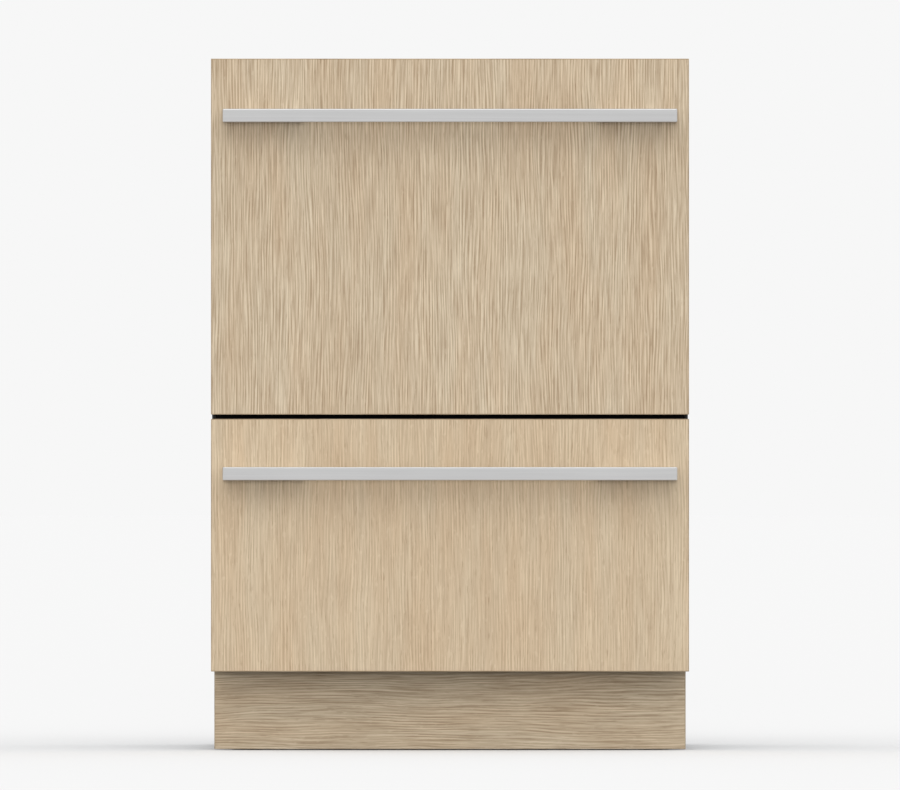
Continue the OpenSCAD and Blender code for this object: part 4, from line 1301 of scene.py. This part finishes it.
@dataclass
class FlangeScrew:
    """A hexagon head on a round flange, with a shallow dish in its top."""

    radius: float = 4.6 * MM
    flange: float = 0.7 * MM
    head: float = 3.1 * MM
    height: float = 1.7 * MM
    dish: float = 0.35 * MM
    rim: float = 0.8 * MM
    flange_round: float = 0.25 * MM
    head_round: float = 0.15 * MM

    def build(self, name: str, axis: Axis, way: float) -> bpy.types.Object:
        """Makes a screw head at the frame's origin.

        Args:
            name: Its name.
            axis: The axis along which it points.
            way: 1 or -1, its direction on that axis.

        Returns:
            The screw head.
        """
        def at(height: float) -> list[float]:
            """A place on the screw's axis."""
            place = [0.0, 0.0, 0.0]
            place[axis.value] = way * height
            return place

        flange = Bench.rod(name, at(self.flange / 2), self.radius, self.flange, axis, 24)
        Bench.soften(flange, self.flange_round)
        middle = at((self.flange + self.height) / 2)
        head = Bench.rod(f"{name}_hexagon", middle, self.head, self.height - self.flange, axis, 6)
        top = way * self.height
        Bench.pick_faces(head, lambda f: abs(f.center[axis.value] - top) < 1e-5)
        Bench.inset(self.rim, -self.dish)
        Bench.soften(head, self.head_round, 1)
        return Bench.join(name, [flange, head])


@dataclass
class Case:
    """The zinc coated case: side, rear and top panels with their screws, and the front rails."""

    store: Store
    panel_edge: float = 0.3 * MM
    side_x: float = 294.5 * MM
    back_y: float = 304.5 * MM
    top_z: float = 862.0 * MM
    runner_ys: tuple[float, ...] = (-178.8 * MM, 221.2 * MM)
    runner_zs: tuple[float, ...] = (234.0 * MM, 560.15 * MM)
    rear_xs: tuple[float, ...] = (-286.0 * MM, 286.0 * MM)
    rear_zs: tuple[float, ...] = (190.0 * MM, 400.0 * MM, 610.0 * MM, 820.0 * MM)
    top_xs: tuple[float, ...] = (-270.0 * MM, 270.0 * MM)
    top_ys: tuple[float, ...] = (-190.0 * MM, 40.0 * MM, 285.0 * MM)

    def build(self) -> None:
        """Makes the case."""
        soft = SoftenedParts(self.store)
        for node in ("left_side_panel", "right_side_panel", "rear_panel", "top_panel"):
            soft.build(node, Finishes.ZINC, "chassis", self.panel_edge)
        soft.build("toe_kick_brackets", Finishes.ZINC, "chassis", self.panel_edge)
        for node in ("top_rail", "centre_rail"):
            soft.build(node, Finishes.BLACK_SHEET_GAP_SHADE, "chassis", self.panel_edge)
        self.screws()

    def screws(self) -> None:
        """Puts the screws on the case's outside."""
        sides = [(y, z) for y in self.runner_ys for z in self.runner_zs]
        rows = {
            "left_side_screws": (Axis.X, -1, [(-self.side_x, y, z) for y, z in sides]),
            "right_side_screws": (Axis.X, 1, [(self.side_x, y, z) for y, z in sides]),
            "rear_screws": (Axis.Y, 1, [(x, self.back_y, z) for x in self.rear_xs for z in self.rear_zs]),
            "top_screws": (Axis.Z, 1, [(x, y, self.top_z) for x in self.top_xs for y in self.top_ys]),
        }
        for name, (axis, way, places) in rows.items():
            screw = FlangeScrew().build(name, axis, way)
            self.store.hand_over(Bench.join(name, Bench.repeat(screw, places)), Finishes.RUNNER, "chassis")


@dataclass
class EdgeTrims:
    """Rubber strips on the case's front edges, with a soft bulb towards the drawers."""

    store: Store
    bulb: float = 1.1 * MM

    def build(self) -> None:
        """Makes both strips."""
        piece = Bench.copy_node("side_trims", "side_trims_skin")
        Bench.soften(piece, self.bulb, 4)
        self.store.hand_over(piece, Finishes.RUBBER, "chassis", "side_trims")


@dataclass
class LevellingFoot:
    """A steel foot: a dished pad, a hexagon to turn it by and a threaded spindle."""

    store: Store
    node: str
    pad: float = 20.0 * MM
    waist: float = 9.5 * MM
    spindle: float = 5.0 * MM
    pitch: float = 1.5 * MM
    thread: float = 0.5 * MM
    hexagon: float = 10.0 * MM
    hexagon_low: float = 8.5 * MM
    hexagon_high: float = 19.0 * MM
    hexagon_round: float = 0.7 * MM
    rim: float = 0.8 * MM
    pad_height: float = 3.2 * MM
    dome: float = 3.0 * MM
    dome_height: float = 6.2 * MM
    neck_low: float = 8.6 * MM
    neck_high: float = 9.4 * MM
    tip: float = 0.6 * MM

    def outline(self, top: float) -> list[Point]:
        """The spun outline, from the middle of the pad up to the top of the spindle.

        Args:
            top: Height of the spindle's end.

        Returns:
            Points in the XZ plane.
        """
        root = self.spindle - self.thread
        points = [
            (0, 0.0), (self.pad - self.rim, 0.0), (self.pad, self.rim),
            (self.pad, self.pad_height - self.rim), (self.pad - self.rim, self.pad_height),
            (self.waist + self.dome, self.dome_height), (self.waist, self.neck_low),
            (self.waist, self.neck_high), (root, self.neck_high),
        ]
        z = self.hexagon_high
        while z + self.pitch < top - 1.0 * MM:
            points += [(root, z)] + [(self.spindle, z + share * self.pitch) for share in CREST]
            z += self.pitch
        points += [(root, z), (root, top - self.tip), (root - self.tip, top), (0, top)]
        return [(x, 0.0, z) for x, z in points]

    def build(self) -> None:
        """Spins the outline and adds the hexagon."""
        low, high = corner(self.node)
        centre = (low + high) / 2
        foot = Bench.spun(f"{self.node}_turned", self.outline(high.z - low.z), 24)
        hexagon = Bench.rod(f"{self.node}_hexagon", (0, 0, (self.hexagon_low + self.hexagon_high) / 2),
                            self.hexagon, self.hexagon_high - self.hexagon_low, Axis.Z, 6)
        Bench.soften(hexagon, self.hexagon_round)
        piece = Bench.join(f"{self.node}_turned", [foot, hexagon])
        Bench.shift(piece, (centre.x, centre.y, low.z))
        self.store.hand_over(piece, Finishes.RUNNER, self.node, self.node)


@dataclass
class Services:
    """The supply valve, the drain outlet and the mains box at the rear."""

    store: Store
    inlet: Point = (-130.0 * MM, 287.5 * MM, 96.0 * MM)
    inlet_radius: float = 13.2 * MM
    inlet_bore: float = 10.2 * MM
    inlet_length: float = 16.0 * MM
    inlet_pitch: float = 1.8 * MM
    drain: Point = (-20.0 * MM, 288.5 * MM, 90.0 * MM)
    drain_radius: float = 9.5 * MM
    thread_depth: float = 0.9 * MM
    thread_proud: float = 0.15 * MM
    thread_wall: float = 1.6 * MM
    strainer_at: float = 6.0 * MM
    strainer_gap: float = 0.3 * MM
    strainer_wall: float = 1.0 * MM
    strainer_depth: float = 4.0 * MM
    barb_starts: tuple[float, ...] = (2.0 * MM, 6.5 * MM, 11.0 * MM)
    barb_root: float = 0.5 * MM
    barb_proud: float = 0.25 * MM
    barb_wall: float = 1.0 * MM
    barb_end: float = 15.2 * MM

    def build(self) -> None:
        """Makes the three fittings and their turned details."""
        soft = SoftenedParts(self.store)
        soft.build("inlet_valve", Finishes.WHITE, "chassis", 0.7 * MM)
        soft.build("drain_outlet", Finishes.WHITE, "chassis", 0.7 * MM)
        soft.build("mains_box", Finishes.DARK, "chassis", 0.8 * MM)
        self.thread()
        self.barbs()
        self.strainer()

    def thread(self) -> None:
        """Puts the thread's ridges round the inlet."""
        points = []
        z = 0.0
        inner = self.inlet_radius - self.thread_depth
        crest = self.inlet_radius + self.thread_proud
        while z + self.inlet_pitch < self.inlet_length:
            points += [(inner, 0.0, z)] + [(crest, 0.0, z + share * self.inlet_pitch) for share in CREST]
            z += self.inlet_pitch
        wall = self.inlet_bore + self.thread_wall
        points += [(inner, 0.0, z), (wall, 0.0, z), (wall, 0.0, 0.0)]
        ridges = Bench.spun("inlet_thread", points, 32, closed=True)
        Bench.lay_back(ridges)
        Bench.shift(ridges, self.inlet)
        self.store.hand_over(ridges, Finishes.WHITE, "chassis")

    def strainer(self) -> None:
        """Puts the fine strainer into the inlet's mouth."""
        rim = self.inlet_bore - self.strainer_gap
        wall = rim - self.strainer_wall
        points = [
            (0, 2.4 * MM), (3.0 * MM, 2.2 * MM), (6.0 * MM, 1.2 * MM), (rim, 0.0), (rim, self.strainer_depth),
            (wall, self.strainer_depth), (6.0 * MM, 2.4 * MM), (0, 3.4 * MM),
        ]
        dome = Bench.spun("inlet_strainer", [(x, 0.0, z) for x, z in points], 32)
        Bench.lay_back(dome)
        Bench.shift(dome, (self.inlet[0], self.inlet[1] + self.strainer_at, self.inlet[2]))
        self.store.hand_over(dome, Finishes.GRIP, "chassis")

    def barbs(self) -> None:
        """Puts the hose barbs round the drain spigot."""
        root, crest = self.drain_radius - self.barb_root, self.drain_radius + self.barb_proud
        wall = self.drain_radius - self.barb_wall
        points = []
        for z in self.barb_starts:
            points += [(root, z), (crest, z + 3.2 * MM), (crest, z + 3.7 * MM), (root, z + 3.9 * MM)]
        points += [(wall, self.barb_end), (wall, self.barb_starts[0])]
        barbs = Bench.spun("drain_barbs", [(x, 0.0, z) for x, z in points], 32, closed=True)
        Bench.lay_back(barbs)
        Bench.shift(barbs, self.drain)
        self.store.hand_over(barbs, Finishes.WHITE, "chassis")


@dataclass
class Runners:
    """Ball bearing runners: channels on the case, inner members on the drawers, and members between."""

    store: Store
    edge: float = 0.3 * MM
    middle_edge: float = 0.2 * MM

    def build(self) -> None:
        """Makes all the runners' members."""
        soft = SoftenedParts(self.store)
        soft.build("runner_channels", Finishes.RUNNER, "chassis", self.edge)
        for level in ("upper", "lower"):
            middles = f"{level}_runner_middles"
            soft.build(middles, Finishes.RUNNER, middles, self.middle_edge, 1)
            soft.build(f"{level}_runner_inners", Finishes.RUNNER, f"{level}_drawer", self.edge)


@dataclass
class WireRack:
    """A rack of bent and welded wires, with fixed and folding rows of tines."""

    store: Store
    level: str
    wire: float = 2.0 * MM
    tine: float = 1.6 * MM
    weld: float = 0.6 * MM
    gap: float = 0.3 * MM
    bend: float = 11.0 * MM
    across: int = 12
    along: int = 10
    tines: int = 10
    tine_pitch: float = 30.0 * MM
    tine_height: float = 92.0 * MM
    row_middle: float = -44.24 * MM
    row_length: float = 309.66 * MM
    row_ys: tuple[float, ...] = (0.0, 91.244 * MM, 182.489 * MM)
    fold_y: float = -91.244 * MM
    row_height: float = 6.05 * MM
    fold_height: float = 8.05 * MM
    row_reach: float = 8.0 * MM
    fold_reach: float = 6.0 * MM
    ring_bend: float = 14.0 * MM
    tip_round: float = 1.2 * MM
    clip_half: tuple[float, float] = (3.0 * MM, 6.0 * MM)
    clip_zs: tuple[float, float] = (4.05 * MM, 14.05 * MM)

    def build(self) -> None:
        """Makes the rack."""
        self.low, self.high = corner(f"{self.level}_rack")
        self.middle = (self.low.y + self.high.y) / 2
        wires = self.cross_wires() + self.long_wires() + self.rings()
        basket = Bench.join(f"{self.level}_rack_wires", wires)
        self.store.hand_over(basket, Finishes.WIRE, f"{self.level}_drawer", f"{self.level}_rack")
        self.rows()
        self.clips()

    def spread(self, span: float, count: int) -> list[float]:
        """Evenly spaced places about zero.

        Args:
            span: Distance from the first to the last.
            count: Number of places.

        Returns:
            The places.
        """
        return [span * (i / (count - 1) - 0.5) for i in range(count)]

    @property
    def layer(self) -> float:
        """Distance from one layer of wires to the next."""
        return 2 * self.wire - self.weld

    @property
    def inset(self) -> float:
        """Distance from the rack's side to the first wire of its floor."""
        return 2 * self.wire + self.layer + self.gap

    def xs(self) -> list[float]:
        """Places of the wires that run front to back."""
        return self.spread(self.high.x - self.low.x - 2 * self.inset - 2 * self.wire, self.across)

    def ys(self) -> list[float]:
        """Places of the wires that run from side to side."""
        span = self.high.y - self.low.y - 2 * self.inset - 2 * self.wire
        return [self.middle + y for y in self.spread(span, self.along)]

    def cross_wires(self) -> list[bpy.types.Object]:
        """Wires bent to a U, down the front, along the floor and up the back."""
        y0, y1 = self.low.y + self.wire, self.high.y - self.wire
        z0, top = self.low.z + self.wire, self.high.z
        path = [(0, y0, top), (0, y0, z0), (0, y1, z0), (0, y1, top)]
        first = Bench.wire("cross_wire", path, self.wire, self.bend)
        return Bench.repeat(first, [(x, 0, 0) for x in self.xs()])

    def long_wires(self) -> list[bpy.types.Object]:
        """Wires bent to a U, down one side, along the floor and up the other side."""
        x0, x1 = self.low.x + self.wire, self.high.x - self.wire
        z0, top = self.low.z + self.wire + self.layer, self.high.z
        path = [(x0, 0, top), (x0, 0, z0), (x1, 0, z0), (x1, 0, top)]
        first = Bench.wire("long_wire", path, self.wire, self.bend)
        return Bench.repeat(first, [(0, y, 0) for y in self.ys()])

    def rings(self) -> list[bpy.types.Object]:
        """Level wires round the rack's walls."""
        step = self.wire + self.layer
        x0, x1, y0, y1 = self.low.x + step, self.high.x - step, self.low.y + step, self.high.y - step
        height = self.high.z - self.low.z
        path = [(x0, y0, 0), (x1, y0, 0), (x1, y1, 0), (x0, y1, 0)]
        first = Bench.wire("ring_wire", path, self.wire, self.ring_bend, closed=True)
        levels = (self.wire, height * 0.5, height - 2 * self.wire)
        return Bench.repeat(first, [(0, 0, self.low.z + z) for z in levels])

    def row(self, name: str, y: float, z: float, extra: float) -> bpy.types.Object:
        """Makes a row of tines on its wire.

        Args:
            name: The row's name.
            y: Its place, front to back.
            z: Its wire's height.
            extra: How far the wire goes on beyond the rack's wires.

        Returns:
            The row.
        """
        half = self.row_length / 2 + extra
        ends = [(self.row_middle - half, y, z), (self.row_middle + half, y, z)]
        base = Bench.wire(f"{name}_wire", ends, self.wire)
        middle = (0, 0, self.tine_height / 2)
        tine = Bench.rod(f"{name}_tine", middle, self.tine, self.tine_height, Axis.Z, 10)
        Bench.soften(tine, self.tip_round, angle=60)
        span = self.tine_pitch * (self.tines - 1)
        places = [(self.row_middle + x, y, z) for x in self.spread(span, self.tines)]
        return Bench.join(name, [base] + Bench.repeat(tine, places))

    def rows(self) -> None:
        """Makes the fixed rows and the folding one."""
        level = self.level
        z = self.low.z + self.row_height
        fixed = [
            self.row(f"{level}_row_{i}", self.middle + y, z, self.row_reach) for i, y in enumerate(self.row_ys)
        ]
        self.store.hand_over(Bench.join(f"{level}_tine_rows", fixed), Finishes.WIRE, f"{level}_drawer")
        z = self.low.z + self.fold_height
        fold = self.row(f"{level}_fold_row", self.middle + self.fold_y, z, self.fold_reach)
        self.store.hand_over(fold, Finishes.WIRE, f"{level}_fold_tines", f"{level}_fold_tines")

    def clips(self) -> None:
        """Makes the clips in which the folding row turns."""
        z0, z1 = (self.low.z + z for z in self.clip_zs)
        half_x, half_y = self.clip_half
        y = self.middle + self.fold_y
        made = []
        for side in (-1, 1):
            x = self.row_middle + side * self.row_length / 2
            clip = Bench.block("clip", (x - half_x, y - half_y, z0), (x + half_x, y + half_y, z1))
            Bench.pick_faces(clip, lambda f: abs(f.normal.x) > 0.9)
            Bench.inset(1.2 * MM, -0.4 * MM)
            made.append(Bench.soften(clip, 0.6 * MM))
        clips = Bench.join(f"{self.level}_fold_clips", made)
        self.store.hand_over(clips, Finishes.GRIP, f"{self.level}_drawer")


@dataclass
class CupShelf:
    """The folding shelf on the upper rack, and the clips that carry it."""

    store: Store
    axle_x: float = -240.3 * MM
    clip_y: float = 68.43 * MM
    axle_z: float = 128.0 * MM
    reach: float = 6.0 * MM
    wall_gap: float = 4.05 * MM
    clip_half: float = 4.0 * MM

    def build(self) -> None:
        """Makes the shelf and its clips."""
        SoftenedParts(self.store).build("upper_cup_shelf", Finishes.TRIM, "upper_cup_shelf", 0.8 * MM)
        low, high = corner("upper_rack")
        middle, z = (low.y + high.y) / 2, low.z + self.axle_z
        made = []
        for side in (-1, 1):
            y = middle + side * self.clip_y
            clip = Bench.block("cup_clip", (low.x + self.wall_gap, y - self.clip_half, z - self.reach),
                               (self.axle_x + self.reach, y + self.clip_half, z + self.reach))
            Bench.pick_faces(clip, lambda f: abs(f.normal.y) > 0.9)
            Bench.inset(1.4 * MM, -0.5 * MM)
            made.append(Bench.soften(clip, 0.7 * MM))
        self.store.hand_over(Bench.join("cup_shelf_clips", made), Finishes.TRIM, "upper_drawer")


@dataclass
class ControlStrip:
    """The strip along a drawer's top edge: key, display window with its lights, and drying vent."""

    store: Store
    level: str
    display: tuple[float, float] = (-70.0 * MM, 240.0 * MM)
    window_width: float = 9.4 * MM
    strip_y: float = -238.2 * MM
    recess: float = 0.8 * MM
    light: float = 0.9 * MM
    light_height: float = 0.24 * MM
    first_light: float = 18.0 * MM
    light_pitch: float = 12.0 * MM
    lights: int = 7
    glass_gap: float = 0.3 * MM
    glass_zs: tuple[float, float] = (0.02 * MM, 0.6 * MM)
    glass_corner: float = 4.4 * MM

    def build(self) -> None:
        """Makes the strip."""
        body = f"{self.level}_drawer"
        soft = SoftenedParts(self.store)
        soft.build(f"{self.level}_control_housing", Finishes.DARK, body, 0.5 * MM)
        soft.build(f"{self.level}_power_key", Finishes.STAINLESS, f"{self.level}_power_key", 0.5 * MM, 3)
        _, high = corner(f"{self.level}_control_housing")
        self.window(high.z - self.recess, body)
        self.indicator_lights(high.z - 0.2 * MM, body)

    def window(self, z: float, body: str) -> None:
        """Makes the dark glass over the display.

        Args:
            z: Height of the recess's floor.
            body: The drawer.
        """
        x, length = self.display
        y, half_x, half_y = self.strip_y, length / 2 - self.glass_gap, self.window_width / 2
        low, high = (z + step for step in self.glass_zs)
        name = f"{self.level}_display_glass"
        glass = Bench.block(name, (x - half_x, y - half_y, low), (x + half_x, y + half_y, high))
        Bench.round_corners(glass, self.glass_corner)
        Bench.soften(glass, 0.15 * MM, angle=50)
        self.store.hand_over(glass, Finishes.GLASS, body)

    def indicator_lights(self, z: float, body: str) -> None:
        """Makes the row of small lights.

        Args:
            z: Height of their tops.
            body: The drawer.
        """
        x, length = self.display
        start = x - length / 2 + self.first_light
        rows = (
            ("dim_lights", range(1, self.lights), Finishes.LIGHT_OFF),
            ("lit_light", range(1), Finishes.LIGHT_ON),
        )
        for name, numbers, finish in rows:
            dot = Bench.rod(name, (0, 0, 0), self.light, self.light_height, Axis.Z, 20)
            Bench.soften(dot, 0.08 * MM, angle=50)
            places = [(start + self.light_pitch * i, self.strip_y, z - 0.1 * MM) for i in numbers]
            self.store.hand_over(Bench.join(f"{self.level}_{name}", Bench.repeat(dot, places)), finish, body)


@dataclass
class WashDrawer:
    """One drawer's inner pieces: pan, tub, motor, filters, spray arm, rack, basket, dispenser and lid."""

    store: Store
    level: str
    pieces: tuple[tuple[str, Finish, str, float, int], ...] = (
        ("tub", Finishes.TUB, "drawer", 0.8, 2),
        ("wash_motor", Finishes.DARK, "drawer", 0.8, 2),
        ("filter_plate", Finishes.STAINLESS, "drawer", 0.25, 2),
        ("drain_filter", Finishes.GRIP, "drain_filter", 0.4, 2),
        ("spray_arm", Finishes.TRIM, "spray_arm", 1.0, 3),
        ("cutlery_basket", Finishes.TRIM, "drawer", 0.5, 2),
        ("dispenser", Finishes.TRIM, "drawer", 0.7, 2),
        ("dispenser_door", Finishes.LID, "dispenser_door", 0.7, 2),
        ("rinse_cap", Finishes.GRIP, "rinse_cap", 0.6, 2),
        ("lid", Finishes.LID, "lid", 0.7, 2),
        ("lid_seal", Finishes.RUBBER, "lid", 0.8, 3),
    )  # name, finish, the body it moves with, width of its rounding in mm and steps in it

    def build(self) -> None:
        """Makes the drawer's pieces."""
        level = self.level
        soft = SoftenedParts(self.store)
        soft.build(f"{level}_front_tray", Finishes.BLACK_SHEET_GAP_SHADE, f"{level}_drawer", 0.35 * MM)
        ControlStrip(self.store, level).build()
        for piece, finish, mover, width, steps in self.pieces:
            soft.build(f"{level}_{piece}", finish, f"{level}_{mover}", width * MM, steps)
        WireRack(self.store, level).build()


@dataclass
class Underside:
    """The base tray, the feet and the brackets that guide the lids."""

    store: Store

    def build(self) -> None:
        """Makes them."""
        soft = SoftenedParts(self.store)
        soft.build("base_tray", Finishes.DARK, "chassis", 0.8 * MM)
        soft.build("lid_actuators", Finishes.DARK, "chassis", 0.15 * MM)
        for end in ("front", "rear"):
            for side in ("left", "right"):
                LevellingFoot(self.store, f"{end}_{side}_foot").build()


# ---------- studio ----------


@dataclass
class Studio:
    """Floor, light and camera."""

    camera_height: float = 0.4439
    lens: float = 1000.0
    sensor: float = 36.0
    picture_width: float = 1.124
    pale: Colour = srgb(247, 247, 247)
    paper: Colour = srgb(229, 229, 229)
    bounce: Colour = srgb(140, 140, 140)
    fill: float = 1.0
    key_strength: float = 0.66
    key_height: float = 5.0
    key_spread: float = 10.0
    top_strength: float = 0.77
    top_height: float = 45.0
    top_spread: float = 50.0
    floor_half: float = 60.0
    floor_level: float = -0.2 * MM
    reach: float = 1000.0

    def build(self) -> None:
        """Makes the studio."""
        self.world()
        self.floor()
        key = self.sun("key_light", self.key_strength, self.key_spread, self.key_height)
        key.visible_glossy = False
        self.sun("top_light", self.top_strength, self.top_spread, self.top_height)
        self.camera()

    def world(self) -> None:
        """A pale room for the camera and for reflections, and a softer fill for matt surfaces."""
        world = bpy.data.worlds.new("studio")
        world.use_nodes = True
        world.node_tree.nodes.clear()
        graph = Graph(world.node_tree)
        seen = self.seen(graph)
        room = graph.node("ShaderNodeBackground", {"Color": self.pale, "Strength": 1.0}).outputs[0]
        white = (1, 1, 1, 1)
        fill = graph.node("ShaderNodeBackground", {"Color": white, "Strength": self.fill}).outputs[0]
        mixed = graph.node("ShaderNodeMixShader", {0: seen, 1: fill, 2: room}).outputs[0]
        graph.node("ShaderNodeOutputWorld", {0: mixed})
        bpy.context.scene.world = world

    def seen(self, graph: Graph) -> bpy.types.NodeSocket:
        """Tells what the camera and mirrors see from what only lights the machine.

        Args:
            graph: The tree to write in.

        Returns:
            1 where the camera, a reflection or a refraction looks, else 0.
        """
        rays = graph.node("ShaderNodeLightPath").outputs
        bounced = graph.math("MAXIMUM", rays["Is Glossy Ray"], rays["Is Transmission Ray"])
        return graph.math("MAXIMUM", rays["Is Camera Ray"], bounced)

    def floor(self) -> None:
        """A plain pale floor that keeps the machine's shadow."""
        Bench.clear()
        bpy.ops.mesh.primitive_plane_add(size=2 * self.floor_half, location=(0, 0, self.floor_level))
        floor = Bench.settle("floor")
        material = bpy.data.materials.new("floor_paper")
        material.use_nodes = True
        graph = Graph(material.node_tree)
        shader = material.node_tree.nodes["Principled BSDF"]
        graph.set_input(shader.inputs["Base Color"], graph.blend(self.seen(graph), self.bounce, self.paper))
        shader.inputs["Roughness"].default_value = 1.0
        shader.inputs["Specular IOR Level"].default_value = 0.0
        floor.data.materials.append(material)

    def sun(self, name: str, strength: float, spread: float, height: float) -> bpy.types.Object:
        """Adds an even lamp that shines on the fronts.

        Args:
            name: The lamp's name.
            strength: Its strength.
            spread: How wide it looks, in degrees.
            height: Its height above the horizon, in degrees.

        Returns:
            The lamp.
        """
        lamp = bpy.data.lights.new(name, "SUN")
        lamp.energy = strength
        lamp.angle = math.radians(spread)
        holder = bpy.data.objects.new(name, lamp)
        holder.rotation_euler = (math.radians(90 - height), 0, 0)
        bpy.context.scene.collection.objects.link(holder)
        return holder

    def camera(self) -> None:
        """A long lens, square on to the fronts, at the photograph's height."""
        low, _ = corner("upper_front_panel")
        lens = bpy.data.cameras.new("camera")
        lens.lens = self.lens
        lens.sensor_width = self.sensor
        lens.clip_end = self.reach
        camera = bpy.data.objects.new("camera", lens)
        distance = self.picture_width * self.lens / self.sensor
        camera.location = (0, low.y - distance, self.camera_height)
        camera.rotation_euler = (math.pi / 2, 0, 0)
        bpy.context.scene.collection.objects.link(camera)
        bpy.context.scene.camera = camera


def main() -> None:
    """Builds the looks."""
    logging.basicConfig(level=logging.INFO, format="%(name)s: %(message)s")
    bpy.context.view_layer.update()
    bpy.context.scene.view_settings.view_transform = "Standard"
    store = Store()
    Studio().build()
    Fronts(store).build()
    Case(store).build()
    EdgeTrims(store).build()
    Underside(store).build()
    Services(store).build()
    Runners(store).build()
    for level in ("upper", "lower"):
        WashDrawer(store, level).build()
    CupShelf(store).build()
    LOG.info("%d pieces made", len(store.names))


if __name__ == "__main__":
    main()
